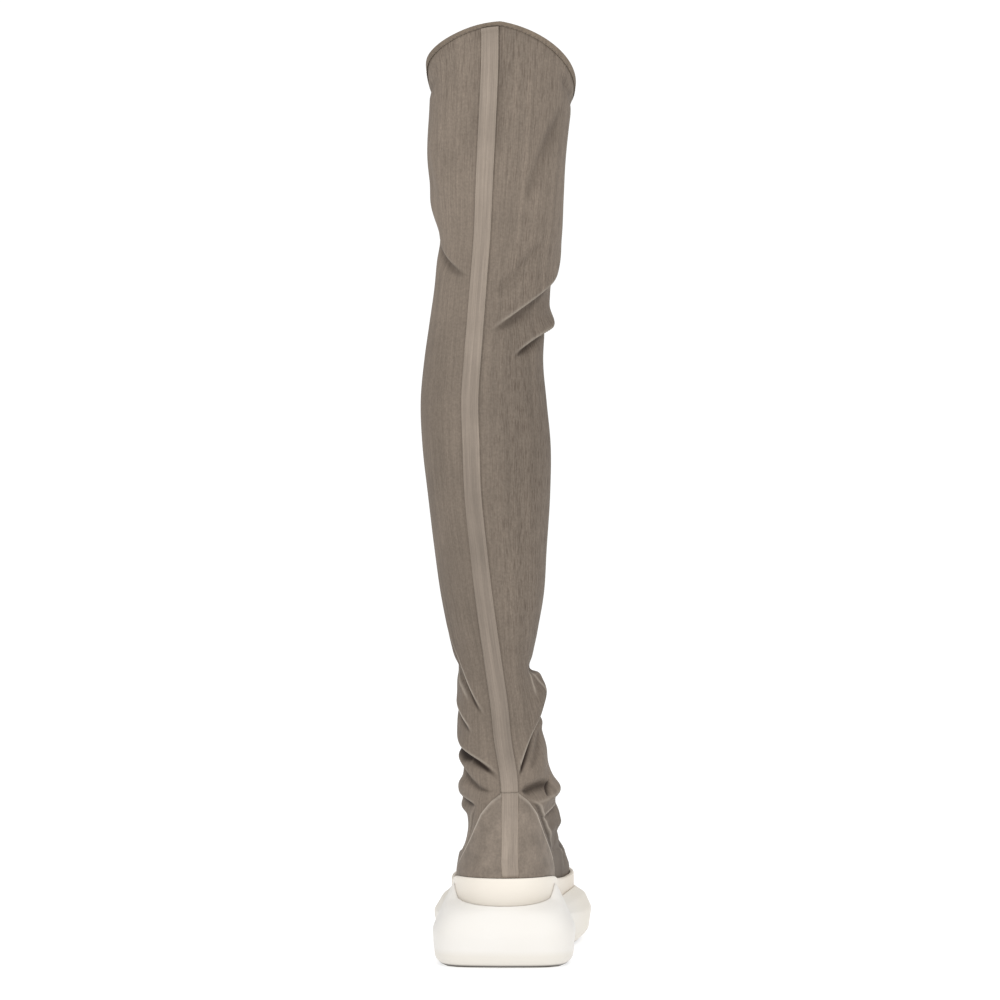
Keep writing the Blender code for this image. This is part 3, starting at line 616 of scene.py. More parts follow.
def add(tree: Any, kind: str, inputs: Optional[dict] = None, out: Any = 0, **settings: Any) -> Any:
    """Add a node with its settings, and link or set its inputs.

    Args:
        tree: node tree that gets the node.
        kind: Blender's name for the node's type.
        inputs: socket or value for each input, by its name or number.
        out: name or number of the output that is wanted.
        settings: the node's own properties.

    Returns:
        That output, or nothing where the node has none.
    """
    node = tree.nodes.new(kind)
    for name, value in settings.items():
        setattr(node, name, value)
    feed(tree, node, inputs or {})
    return node.outputs[out] if len(node.outputs) else None


def new_material(name: str) -> tuple[Any, Any, Any]:
    """A material with nodes, its tree and its Principled shader."""
    made = bpy.data.materials.new(name)
    made.use_nodes = True
    return made, made.node_tree, made.node_tree.nodes["Principled BSDF"]


@dataclass(frozen=True)
class SkinFinish:
    """Brushed stretch leather: a dull nap whose open pores draw fine streaks down the leg."""

    name: str
    colour: str
    pore: str = "#52463d"
    # A lighter colour for painted highlights on the fold lips and for the counters' bare cut edge
    highlight_and_bare_edge: str = "#c9bfb2"
    # Painted shade for the creases' troughs and the groove beside the stay
    crease: str = "#261a12"
    roughness: float = 0.66
    roughness_swing: tuple[float, float] = (-0.08, 0.1)
    specular: float = 0.18
    # The pores are under 0.4 mm wide. They are drawn 0.8 mm wide, so that they show at this size.
    pore_width: float = 0.8
    pore_length: float = 11.0
    pore_noise: tuple[float, float] = (0.5, 0.32)
    pores: float = 0.7
    hair_width: float = 0.64
    hair_length: float = 70.0
    hairs: float = 0.1
    band_width: float = 5.0
    band_length: float = 200.0
    bands: float = 0.12
    streaks: float = 1.0
    nap_size: float = 1.9
    naps: float = 0.17
    cloud_size: float = 45.0
    clouds: float = 0.13
    noise_range: tuple[float, float] = (0.2, 0.8)
    noise_roughness: float = 0.55
    relief: float = 0.35
    relief_depth: float = 0.4

    def make(self) -> bpy.types.Material:
        """Build the material from the piece's own map and its painted attributes."""
        made, tree, shader = new_material(self.name)
        cut = add(tree, "ShaderNodeUVMap", uv_map="cut")
        place = add(tree, "ShaderNodeTexCoord", out="Object")
        taut, crest, hollow, tone = (
            add(tree, "ShaderNodeAttribute", out="Fac", attribute_name=name)
            for name in ("taut", "crest", "hollow", "tone")
        )
        marks = {}
        for name, wide, long, detail in (
            ("pore", self.pore_width, self.pore_length, 2.0),
            ("band", self.band_width, self.band_length, 3.0),
            ("hair", self.hair_width, self.hair_length, 1.0),
        ):
            scale = (1.0 / (wide * MM), 1.0 / (long * MM), 1.0)
            stretched = add(tree, "ShaderNodeVectorMath", {0: cut, 1: scale}, operation="MULTIPLY")
            noise = {"Vector": stretched, "Scale": 1.0, "Detail": detail, "Roughness": self.noise_roughness}
            marks[name] = add(tree, "ShaderNodeTexNoise", noise, noise_dimensions="2D")
        for name, size, detail in (("nap", self.nap_size, 3.0), ("cloud", self.cloud_size, 4.0)):
            noise = {"Vector": place, "Scale": 1.0 / (size * MM), "Detail": detail}
            marks[name] = add(tree, "ShaderNodeTexNoise", noise)

        # Lightness: the painted tone, which is painted shade by height and side, times bands and hairs
        # down the leg, clouds from brushing and the nap
        lightness, (low, high) = tone, self.noise_range
        for name, swing in (
            ("band", self.bands * self.streaks),
            ("cloud", self.clouds),
            ("hair", self.hairs * self.streaks),
            ("nap", self.naps),
        ):
            limits = {"From Min": low, "From Max": high, "To Min": 1.0 - swing, "To Max": 1.0 + swing}
            factor = add(tree, "ShaderNodeMapRange", {"Value": marks[name], **limits})
            lightness = add(tree, "ShaderNodeMath", {0: lightness, 1: factor}, operation="MULTIPLY")
        toned = {0: 1.0, 6: linear(self.colour), 7: lightness}
        colour = add(tree, "ShaderNodeMix", toned, out=2, data_type="RGBA", blend_type="MULTIPLY")

        # Pores: dark dashes where the pore noise is low, as strong as the skin is stretched
        low, high = self.pore_noise
        limits = {"From Min": low, "From Max": high, "To Min": 0.0, "To Max": self.pores}
        open_pore = add(tree, "ShaderNodeMapRange", {"Value": marks["pore"], **limits})
        open_pore = add(tree, "ShaderNodeMath", {0: open_pore, 1: taut}, operation="MULTIPLY")
        # Then the pores, the painted shade of troughs and grooves, and the lighter edge: painted highlight on
        # fold lips, bare cut edge on the counters
        for share, over in ((open_pore, self.pore), (hollow, self.crease), (crest, self.highlight_and_bare_edge)):
            mixed = {0: share, 6: colour, 7: linear(over)}
            colour = add(tree, "ShaderNodeMix", mixed, out=2, data_type="RGBA")
        raised = {0: marks["pore"], 1: taut, 2: marks["nap"]}
        height = add(tree, "ShaderNodeMath", raised, operation="MULTIPLY_ADD")
        bump = {"Height": height, "Strength": self.relief, "Distance": self.relief_depth * MM}
        low, high = self.roughness_swing
        rough = {"Value": marks["nap"], "To Min": self.roughness + low, "To Max": self.roughness + high}
        surface = {
            "Base Color": colour,
            "Roughness": add(tree, "ShaderNodeMapRange", rough),
            "Normal": add(tree, "ShaderNodeBump", bump),
            "Specular IOR Level": self.specular,
        }
        feed(tree, shader, surface)
        return made


@dataclass(frozen=True)
class RubberFinish:
    """Moulded foam rubber: an even satin skin with a faint pebble and warm clouds, with painted shade at the
    foot and to the front.
    """

    name: str
    colour: str
    foot_shade_and_cloud: str
    front: str
    roughness: float = 0.42
    roughness_swing: tuple[float, float] = (-0.05, 0.08)
    specular: float = 0.35
    # The mould's grain is near 0.1 mm. It is drawn 1.5 mm wide, so that it shows at this size.
    grain: float = 1.5
    relief: float = 0.06
    relief_depth: float = 0.3
    cloud: float = 40.0
    cloud_range: tuple[float, float] = (0.3, 0.8)
    cloud_share: float = 0.25
    # Painted shade on the foot's lowest band, fading out between these heights over the floor
    foot_shade_from: float = 9.0
    foot_shade_to: float = 15.0
    foot_shade_share: float = 0.7
    # Painted shade towards the front, growing between these distances along the foot
    front_shade_from: float = 50.0
    front_shade_to: float = 130.0
    # A painted contact shadow along the tread's edge
    contact_shadow: str = "#2e261f"
    contact_shadowed: bool = False

    def make(self) -> bpy.types.Material:
        """Build the material: painted shade by height over the floor and along the foot, and broad clouds of
        tone.
        """
        made, tree, shader = new_material(self.name)
        place = add(tree, "ShaderNodeTexCoord", out="Object")
        height, along = (add(tree, "ShaderNodeSeparateXYZ", {0: place}, out=axis) for axis in "ZY")
        cloud, grain = (
            add(tree, "ShaderNodeTexNoise", {"Vector": place, "Scale": 1.0 / (size * MM), "Detail": detail})
            for size, detail in ((self.cloud, 3.0), (self.grain, 2.0))
        )
        low_limits = {"From Min": self.foot_shade_from * MM, "From Max": self.foot_shade_to * MM}
        low_limits |= {"To Min": self.foot_shade_share, "To Max": 0.0}
        cloud_limits = {"From Min": self.cloud_range[0], "From Max": self.cloud_range[1]}
        cloud_limits |= {"To Min": 0.0, "To Max": self.cloud_share}
        front_limits = {"From Min": self.front_shade_from * MM, "From Max": self.front_shade_to * MM}
        low, clouded, ahead = (
            add(tree, "ShaderNodeMapRange", {"Value": value, **limits})
            for value, limits in ((height, low_limits), (cloud, cloud_limits), (along, front_limits))
        )
        # The stronger of the painted shade low on the foot and the warm clouds
        shaded_and_clouded = add(tree, "ShaderNodeMath", {0: low, 1: clouded}, operation="MAXIMUM")
        # Then painted shade towards the front, in the front colour
        layers = [(shaded_and_clouded, self.foot_shade_and_cloud), (ahead, self.front)]
        # The painted contact shadow along the tread's edge, read from the piece
        if self.contact_shadowed:
            layers.append((add(tree, "ShaderNodeAttribute", out="Fac", attribute_name="contact_shadow"), self.contact_shadow))
        colour = linear(self.colour)
        for share, over in layers:
            mixed = {0: share, 6: colour, 7: linear(over)}
            colour = add(tree, "ShaderNodeMix", mixed, out=2, data_type="RGBA")
        bump = {"Height": grain, "Strength": self.relief, "Distance": self.relief_depth * MM}
        low, high = self.roughness_swing
        rough = {"Value": grain, "To Min": self.roughness + low, "To Max": self.roughness + high}
        surface = {
            "Base Color": colour,
            "Roughness": add(tree, "ShaderNodeMapRange", rough),
            "Normal": add(tree, "ShaderNodeBump", bump),
            "Specular IOR Level": self.specular,
        }
        feed(tree, shader, surface)
        return made


@dataclass(frozen=True)
class ClothFinish:
    """Knitted or felted cloth: a matt face with rows of loops or a plain nap."""

    name: str
    colour: str
    shade: str
    # Loops are near 0.6 mm. They are drawn 1.6 mm wide, so that they show at this size.
    loop: float = 1.6
    unevenness: float = 1.5
    relief: float = 0.5
    relief_depth: float = 0.4
    roughness: float = 0.9
    sheen: float = 0.1

    def make(self) -> bpy.types.Material:
        """Build the material: wave bands broken up by noise make the rows of loops."""
        made, tree, shader = new_material(self.name)
        place = add(tree, "ShaderNodeTexCoord", out="Object")
        # The wave node draws a band every pi / 10 of its scaled length
        wave = {"Vector": place, "Scale": math.pi / 10.0 / (self.loop * MM)}
        wave |= {"Distortion": self.unevenness, "Detail": 2.0}
        rows = add(tree, "ShaderNodeTexWave", wave, out="Fac", bands_direction="Z")
        noise = {"Vector": place, "Scale": 1.0 / (self.loop * MM), "Detail": 3.0}
        fuzz = add(tree, "ShaderNodeTexNoise", noise)
        weave = add(tree, "ShaderNodeMath", {0: rows, 1: fuzz}, operation="MULTIPLY")
        mixed = {0: weave, 6: linear(self.shade), 7: linear(self.colour)}
        bump = {"Height": weave, "Strength": self.relief, "Distance": self.relief_depth * MM}
        surface = {
            "Base Color": add(tree, "ShaderNodeMix", mixed, out=2, data_type="RGBA"),
            "Normal": add(tree, "ShaderNodeBump", bump),
            "Roughness": self.roughness,
            "Sheen Weight": self.sheen,
        }
        feed(tree, shader, surface)
        return made


SHAFT_SKIN = SkinFinish("brushed_stretch_leather", "#807468")
STAY_SKIN = SkinFinish("brushed_stay_leather", "#93877b", pores=0.28, streaks=1.2, relief=0.15, naps=0.04)
COUNTER_SKIN = SkinFinish(
    "stiffened_counter_leather",
    "#7b7065",
    pores=0.0,
    streaks=0.25,
    roughness=0.6,
    relief=0.2,
    cloud_size=13.0,
    clouds=0.28,
)
HEM_SKIN = SkinFinish("folded_hem_leather", "#766a5d", pores=0.42)
# White rubber: painted shade at its foot and to the front, and a painted contact shadow at the tread
WHITE_RUBBER = RubberFinish("moulded_white_rubber", "#dfdcd7", "#d6d0c6", "#dcd6cb", contact_shadowed=True)
# Cream rubber: painted shade to the front; its foot band lies below the foxing, so none shows there
CREAM_RUBBER = RubberFinish(
    "moulded_cream_rubber", "#e2dbd0", "#dbd2c5", "#d7cdbf", foot_shade_from=-20.0, foot_shade_to=-10.0
)
LINING_KNIT = ClothFinish("knitted_lining", "#75695f", "#4b423b")
FOOTBED_FELT = ClothFinish("felted_footbed", "#6d6257", "#3f3730", loop=1.2)
THREAD = ClothFinish("twisted_polyester_thread", "#7a6e62", "#564b42", loop=0.8, roughness=0.7)


def grid_faces(
    rows: int, columns: int, wrap_rows: bool = False, wrap_columns: bool = False
) -> NDArray[np.int64]:
    """Corner numbers of a grid's quads, which face the cross of the row run and the column run.

    Args:
        rows: number of rows of points.
        columns: number of points in a row.
        wrap_rows: join the last row to the first.
        wrap_columns: join the last column to the first.

    Returns:
        Four corners for each quad, row by row.
    """
    i, j = np.meshgrid(
        np.arange(rows if wrap_rows else rows - 1),
        np.arange(columns if wrap_columns else columns - 1),
        indexing="ij",
    )
    k, m = (i + 1) % rows, (j + 1) % columns
    corners = (i * columns + j, k * columns + j, k * columns + m, i * columns + m)
    return np.stack(corners, axis=-1).reshape(-1, 4)


def slab_faces(rows: int, columns: int) -> NDArray[np.int64]:
    """Quads of a closed slab: a grid, the same grid below it facing away, and a rim between them."""
    count = rows * columns
    top = grid_faces(rows, columns)
    number = np.arange(count).reshape(rows, columns)
    border = np.concatenate((number[0], number[1:, -1], number[-1, -2::-1], number[-2:0:-1, 0]))
    after = np.roll(border, -1)
    rim = np.stack((border, after, after + count, border + count), axis=-1)
    return np.concatenate((top, top[:, ::-1] + count, rim))


def slab_points(top: Array, under: Array) -> Array:
    """Points of a closed slab: those of its top, then those of its underside."""
    return np.concatenate((top.reshape(-1, 3), under.reshape(-1, 3)))


def make_piece(
    name: str,
    points: Array,
    faces: Sequence[Sequence[int]],
    finishes: Sequence[bpy.types.Material],
    finish_of_face: Optional[Array] = None,
    cut: Optional[Array] = None,
    painted: Optional[dict[str, Array]] = None,
) -> bpy.types.Object:
    """Make a mesh object that rides on the boot.

    Args:
        name: the object's name.
        points: points in millimetres, any grid shape with x, y, z last.
        faces: corner numbers of each face.
        finishes: materials in slot order.
        finish_of_face: slot number of each face, or nothing for the first.
        cut: map coordinates in metres of every face corner.
        painted: values for each point, by attribute name.

    Returns:
        The object, linked to the scene.
    """
    mesh = bpy.data.meshes.new(name)
    mesh.from_pydata((points.reshape(-1, 3) * MM).tolist(), [], [list(map(int, face)) for face in faces])
    for finish in finishes:
        mesh.materials.append(finish)
    mesh.polygons.foreach_set("use_smooth", np.ones(len(mesh.polygons), dtype=bool))
    if finish_of_face is not None:
        mesh.polygons.foreach_set("material_index", finish_of_face.astype(np.int32))
    if cut is not None:
        layer = mesh.uv_layers.new(name="cut")
        layer.data.foreach_set("uv", cut.astype(np.float32).ravel())
    for key, values in (painted or {}).items():
        attribute = mesh.attributes.new(key, "FLOAT", "POINT")
        attribute.data.foreach_set("value", np.ravel(values).astype(np.float32))
    mesh.update()
    obj = bpy.data.objects.new(name, mesh)
    bpy.context.scene.collection.objects.link(obj)
    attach(obj, "root")
    LOG.info("%s: %d points, %d faces", name, len(mesh.vertices), len(mesh.polygons))
    return obj


def plain_paint(count: int, taut: float = 0.3) -> dict[str, Array]:
    """Even values of the attributes that a skin finish reads, at full lightness."""
    even = {"tone": 1.0, "taut": taut, "crest": 0.0, "hollow": 0.0}
    return {name: np.full(count, value) for name, value in even.items()}


@dataclass
class Upper:
    """The slack stretch shaft and foot: an outer skin with its creases, and a lining inside it."""

    form: BootForm
    wall_pitch: float = 3.0
    beside_stay: tuple[float, ...] = (4.0, 6.4, 7.2, 7.8, 8.6, 9.8, 11.6)
    side_columns: int = 98
    front_stretch: float = 0.45
    lining_every: int = 9
    lining_depth: float = 2.0
    map_radius: float = 45.0
    groove_at: float = 7.5
    groove_width: float = 0.55
    groove_depth: float = 0.22
    line_dark: float = 0.6
    line_dark_z: float = 690.0
    line_soft: float = 0.2
    line_soft_z: float = 600.0
    lateral_line: float = 0.45
    curve_points: int = 48
    reach: float = 32.0
    start_fade: float = 0.25
    end_fade: float = 0.35
    thin_end: float = 0.3
    trough_share: float = 0.5
    shade_share: float = 0.6
    shade_hold: float = 2.5
    shade_slope: float = 2.0
    overhang_slope: float = 3.0
    highlight_and_bare_at: float = 0.4
    highlight_and_bare_width: float = 1.1
    # A trough's near wall is this share of its width and of the edge's, and an overhang pulls this far
    wall_shares: tuple[float, float] = (0.25, 0.5)
    pull_shares: tuple[float, float] = (1.5, 0.6)
    tuck_margin: float = 1.0
    tuck_fade: float = 6.0
    stay_fade: float = 3.0
    smooth_deg: tuple[float, float] = (12.0, 42.0)
    smooth_share: float = 0.35
    smooth_z: tuple[float, float] = (590.0, 660.0)
    side_blend: float = 0.35

    def rows(self) -> Array:
        """Distances down of the rows, spaced by each section's pitch."""
        stops, pitches = self.form.stops, [s.pitch for s in SECTIONS] + [self.wall_pitch]
        parts = [np.zeros(1)]
        for start, end, pitch in zip(stops[:-1], stops[1:], pitches):
            count = max(1, round((end - start) / pitch))
            parts.append(np.linspace(start, end, count + 1)[1:])
        return np.concatenate(parts)

    def turns(self, rows: Array) -> Array:
        """Angles of the columns at each row: some beside the stay, the rest wider to the front."""
        near = self.form.turn_per_mm(rows)[:, None] * np.array((0.0,) + self.beside_stay)
        share = np.arange(1, self.side_columns + 1) / self.side_columns
        share = share * (1.0 - self.front_stretch * (1.0 - share**2))
        side = np.concatenate((near, near[:, -1:] + (math.pi - near[:, -1:]) * share), axis=1)
        return np.concatenate((side, 2.0 * math.pi - side[:, -2:0:-1]), axis=1)

    def crease_line(self, tuck: Tuck) -> tuple[Array, Array]:
        """A tuck's line on the skin: a parabola through its middle, and the way across it.

        Args:
            tuck: the row of the table.

        Returns:
            Points of the line, and unit vectors to its lip side.
        """
        share = np.linspace(0.0, 1.0, self.curve_points)

        def curve(start: float, middle: float, end: float) -> Array:
            """Quadratic curve that passes start, middle and end."""
            pull = 2.0 * middle - (start + end) / 2.0
            return (1 - share) ** 2 * start + 2 * share * (1 - share) * pull + share**2 * end

        angle = curve(tuck.start_deg, tuck.middle_deg, tuck.end_deg)
        height = curve(tuck.start_z, tuck.middle_z, tuck.end_z)
        down = self.form.down_at_height(np.radians(angle), height)
        turn = np.radians(angle - self.form.seam_turn(down))
        down = self.form.down_at_height(turn, height)
        line = self.form.unfolded(down, turn)
        run = unit(np.gradient(line, axis=0))
        return line, unit(np.cross(self.form.outward(down, turn), run))

    def crease(self, points: Array, tuck: Tuck) -> tuple[Array, Array, Array, Array]:
        """Shape one tuck where it meets the skin.

        The lip is a bell that drops steeply one overhang before the line, and the overhang pulls its
        edge to the line. The trough is a bell just past the line. All fade at both ends. The painted
        shade is a band past the line that thins to its ends, flat under an overhang and soft elsewhere.
        The painted highlight is a thin band along the lip's edge.

        Args:
            points: points of the skin before its folds, one row each.
            tuck: the row of the table.

        Returns:
            The lift, the sideways pull, and the strength of the painted highlight and of the painted shade.
        """
        line, across = self.crease_line(tuck)
        height, lowest, highest = points[:, 2], line[:, 2].min(), line[:, 2].max()
        near = (height > lowest - self.reach) & (height < highest + self.reach)
        start, step = line[:-1], np.diff(line, axis=0)
        length = np.linalg.norm(step, axis=1)
        away = points[near][:, None, :] - start
        along = np.clip(np.einsum("psk,sk->ps", away, step) / length**2, 0.0, 1.0)
        apart = away - along[..., None] * step
        nearest = np.argmin(np.einsum("psk,psk->ps", apart, apart), axis=1)
        pick = np.arange(len(nearest))
        apart, along = apart[pick, nearest], along[pick, nearest]
        side = across[nearest] * (1.0 - along[:, None]) + across[nearest + 1] * along[:, None]
        past = np.sign(np.einsum("pk,pk->p", apart, side)) * np.linalg.norm(apart, axis=1)
        passed = passed_along(line)
        share = (passed[nearest] + along * length[nearest]) / passed[-1]
        fade = ease(share / self.start_fade) * ease((1.0 - share) / self.end_fade)

        offset, sunk = past - tuck.overhang, past + self.trough_share * tuck.trough_width
        wall = self.wall_shares[0] * tuck.trough_width + self.wall_shares[1] * tuck.edge
        pull_out, pull_edge = self.pull_shares[0] * tuck.lip_width, self.pull_shares[1] * tuck.edge
        lip = np.where(offset > 0.0, bell(offset, tuck.lip_width), bell(offset, tuck.edge))
        trough = np.where(sunk < 0.0, bell(sunk, tuck.trough_width), bell(sunk, wall))
        over = np.where(offset > 0.0, bell(offset, pull_out), bell(offset, pull_edge))
        lift, highlight_and_bare, shade = (np.zeros(len(points)) for _ in range(3))
        pull = np.zeros(points.shape)
        lift[near] = fade * (tuck.lip * lip - tuck.trough * trough)
        pull[near] = -side * (fade * tuck.overhang * over)[:, None]
        # Painted highlight: a thin light band along the lip's edge
        highlight_and_bare[near] = fade * tuck.highlight_and_bare * bell(offset - self.highlight_and_bare_at, self.highlight_and_bare_width)
        # Painted shade: a dark band past the line, thinning to the tuck's ends
        dark = self.shade_share * tuck.trough_width * (self.thin_end + (1.0 - self.thin_end) * fade)
        slope = self.overhang_slope if tuck.overhang > 0.0 else self.shade_slope
        gap = np.exp(-np.abs((past + dark) / dark) ** slope)
        shade[near] = np.minimum(1.0, self.shade_hold * fade) * tuck.shade * gap
        return lift, pull, highlight_and_bare, shade

    def skin(self, rows: Array, turns: Array) -> tuple[Array, Array, dict[str, Array]]:
        """Shape the outer skin: broad folds, tucks and a groove beside the stay.

        Args:
            rows: distances down.
            turns: angles of each point.

        Returns:
            The points, those of the lining under them and the painted attributes. The lining lies
            under the lowest skin of the rows around.
        """
        form, down = self.form, np.broadcast_to(rows[:, None], turns.shape)
        base, outward = form.unfolded(down, turns), form.outward(down, turns)
        height = base[..., 2]
        lift = form.fold_lift(down, turns, height)
        angle = np.abs(from_seam(turns))
        beside = np.radians(angle) / form.turn_per_mm(rows)[:, None]
        over_counter = height - form.counter_top(angle)
        beside_free = np.clip((beside - form.stay_half_width) / self.stay_fade, 0.0, 1.0)
        free = np.clip((over_counter + self.tuck_margin) / self.tuck_fade, 0.0, 1.0) * beside_free
        shift, crest, hollow = np.zeros(base.shape), np.zeros(height.shape), np.zeros(height.shape)
        for tuck in TUCKS:
            rise, pull, edge, dark = self.crease(base.reshape(-1, 3), tuck)
            lift = lift + free * rise.reshape(height.shape)
            shift = shift + free[..., None] * pull.reshape(base.shape)
            # Painted highlight on the lips and painted shade in the troughs, the strongest of all the tucks
            crest = np.maximum(crest, free * edge.reshape(height.shape))
            hollow = np.maximum(hollow, beside_free * dark.reshape(height.shape))
        # A dark line in the groove beside the stay: a dark seam line with painted shade, darker high up and
        # on the medial side
        groove = bell(beside - self.groove_at, self.groove_width)
        drawn = np.interp(height, (self.line_soft_z, self.line_dark_z), (self.line_soft, self.line_dark))
        drawn = drawn * np.where(np.sin(turns) > 0.0, 1.0, self.lateral_line)
        points = base + shift + outward * (lift - self.groove_depth * groove)[..., None]
        lowest = np.minimum(lift, 0.0)
        for _ in range(self.lining_every):
            padded = np.pad(lowest, ((1, 1), (0, 0)), mode="edge")
            lowest = np.minimum(np.minimum(padded[:-2], padded[2:]), lowest)
        beside_columns = np.minimum(np.roll(lowest, 1, axis=1), np.roll(lowest, -1, axis=1))
        lining = base + outward * (np.minimum(lowest, beside_columns) - self.lining_depth)[..., None]
        painted = {"crest": crest, "hollow": np.maximum(hollow, drawn * groove)}
        painted.update(self.painted_shade_and_pores(height, turns))
        return points, lining, painted

    def painted_shade_and_pores(self, height: Array, turns: Array) -> dict[str, Array]:
        """Painted shade by height and side, and pore strength, blended across; fewer pores beside the low
        stay.
        """
        medial = 0.5 + 0.5 * np.clip(np.sin(turns) / self.side_blend, -1.0, 1.0)
        at = columns_of(TONES, "height")

        def read(name: str) -> Array:
            """One column of the table at every height."""
            return np.interp(height, at, columns_of(TONES, name))

        tone = read("lateral") * (1.0 - medial) + read("medial") * medial
        taut = read("lateral_pores") * (1.0 - medial) + read("medial_pores") * medial
        smoothed = np.interp(np.abs(from_seam(turns)), self.smooth_deg, (self.smooth_share, 1.0))
        above_knee = np.interp(height, self.smooth_z, (0.0, 1.0))
        taut = taut * (smoothed * (1.0 - above_knee) + above_knee)
        return {"tone": tone, "taut": taut}

    def build(self) -> bpy.types.Object:
        """Make the closed shell of skin and lining."""
        rows = self.rows()
        turns = self.turns(rows)
        points, lining, painted = self.skin(rows, turns)
        kept = np.unique(np.append(np.arange(0, len(rows), self.lining_every), len(rows) - 1))[::-1]
        shell = np.concatenate((points, lining[kept]))
        painted = {name: np.concatenate((values, values[kept])) for name, values in painted.items()}
        count, columns = shell.shape[:2]
        faces = grid_faces(count, columns, wrap_rows=True, wrap_columns=True)
        inside = np.arange(count) >= len(rows) - 1
        slots = np.repeat(inside.astype(int), columns)

        # Map: angle times a mean radius across, distance down along, with no jump at the back seam
        across = np.concatenate((turns, turns[kept])) * self.map_radius * MM
        down = np.concatenate((rows, rows[kept])) * MM
        column, row = faces % columns, faces // columns
        u = across[row, column]
        closing = np.zeros(faces.shape, dtype=bool)
        closing[columns - 1 :: columns, 2:] = True
        u = np.where(closing, 2.0 * math.pi * self.map_radius * MM, u)
        cut = np.stack((u, down[row]), axis=-1)
        finishes = (SHAFT_SKIN.make(), LINING_KNIT.make())
        obj = make_piece("stretch_upper", shell, faces, finishes, slots, cut, painted)
        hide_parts("upper")
        return obj


class StayPart(Enum):
    """The two lengths of the back stay."""

    SHAFT = "back_stay_shaft"
    HEEL = "back_stay_heel"


@dataclass
class BackStay:
    """A tape down the back seam, crowned across with rounded edges."""

    form: BootForm
    part: StayPart
    finish: bpy.types.Material
    thickness: float = 0.75
    crown: float = 0.3
    edge_round: float = 2.4
    top_end: float = 2.4
    hem_out: float = 1.5
    hem_foot: float = 3.6
    hem_slope: float = 3.0
    pitch: float = 3.0
    sunk: float = 0.2
    hem_rows: int = 14
    hem_clear: float = 1.0
    least_rows: int = 4
    heel_share: float = 1.12
    across: tuple[float, ...] = (0.0, 1.4, 2.8, 4.0, 4.8, 5.5, 6.0, 6.4, 6.7, 6.9, 7.0)

    def ends(self) -> tuple[float, float]:
        """Distances down of the tape's two ends."""
        seam = float(self.form.down_at_height(np.zeros(1), self.form.seam_height)[0])
        if self.part is StayPart.SHAFT:
            return self.top_end, seam
        return seam + self.form.gap, float(self.form.band_edge_down(np.zeros(1))[0])

    def build(self) -> bpy.types.Object:
        """Make the tape: a quarter round at each edge and a low arch between."""
        start, end = self.ends()
        down = np.linspace(start, end, max(self.least_rows, round((end - start) / self.pitch)))
        if self.part is StayPart.SHAFT:
            over_hem = np.linspace(start, self.hem_foot + self.hem_slope, self.hem_rows)
            down = np.concatenate((over_hem, down[down > over_hem[-1] + self.hem_clear]))
        half = np.array(self.across) * (self.heel_share if self.part is StayPart.HEEL else 1.0)
        offset = np.concatenate((-half[:0:-1], half))
        turns = self.form.turn_per_mm(down)[:, None] * offset
        inset = np.clip((half[-1] - np.abs(offset)) / self.edge_round, 0.0, 1.0)
        rise = self.thickness * np.sqrt(1.0 - (1.0 - inset) ** 2)
        rise = rise + self.crown * (1.0 - (offset / half[-1]) ** 2)
        at = down[:, None]
        climb = self.hem_out * ease(1.0 - (at - self.hem_foot) / self.hem_slope)
        top = self.form.surface(at, turns, self.form.gap + climb + rise)
        lowest = np.broadcast_to(self.form.gap - self.sunk + climb, turns.shape)
        under = self.form.surface(at, turns, lowest)
        faces = slab_faces(len(down), len(offset))
        grid = np.stack(np.broadcast_arrays(offset * MM, at * MM), axis=-1).reshape(-1, 2)
        paint = plain_paint(2 * turns.size)
        # The stay's painted shade by height
        tone = np.interp(top[..., 2], columns_of(TONES, "height"), columns_of(TONES, "stay"))
        paint["tone"] = np.tile(tone.ravel(), 2)
        name = self.part.value.replace("stay", "stay_tape")
        cut = np.tile(grid, (2, 1))[faces]
        obj = make_piece(name, slab_points(top, under), faces, (self.finish,), cut=cut, painted=paint)
        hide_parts(self.part.value)
        return obj


class Side(Enum):
    """Inner or outer side of the foot, with the sign of its angles."""

    MEDIAL = 1.0
    LATERAL = -1.0


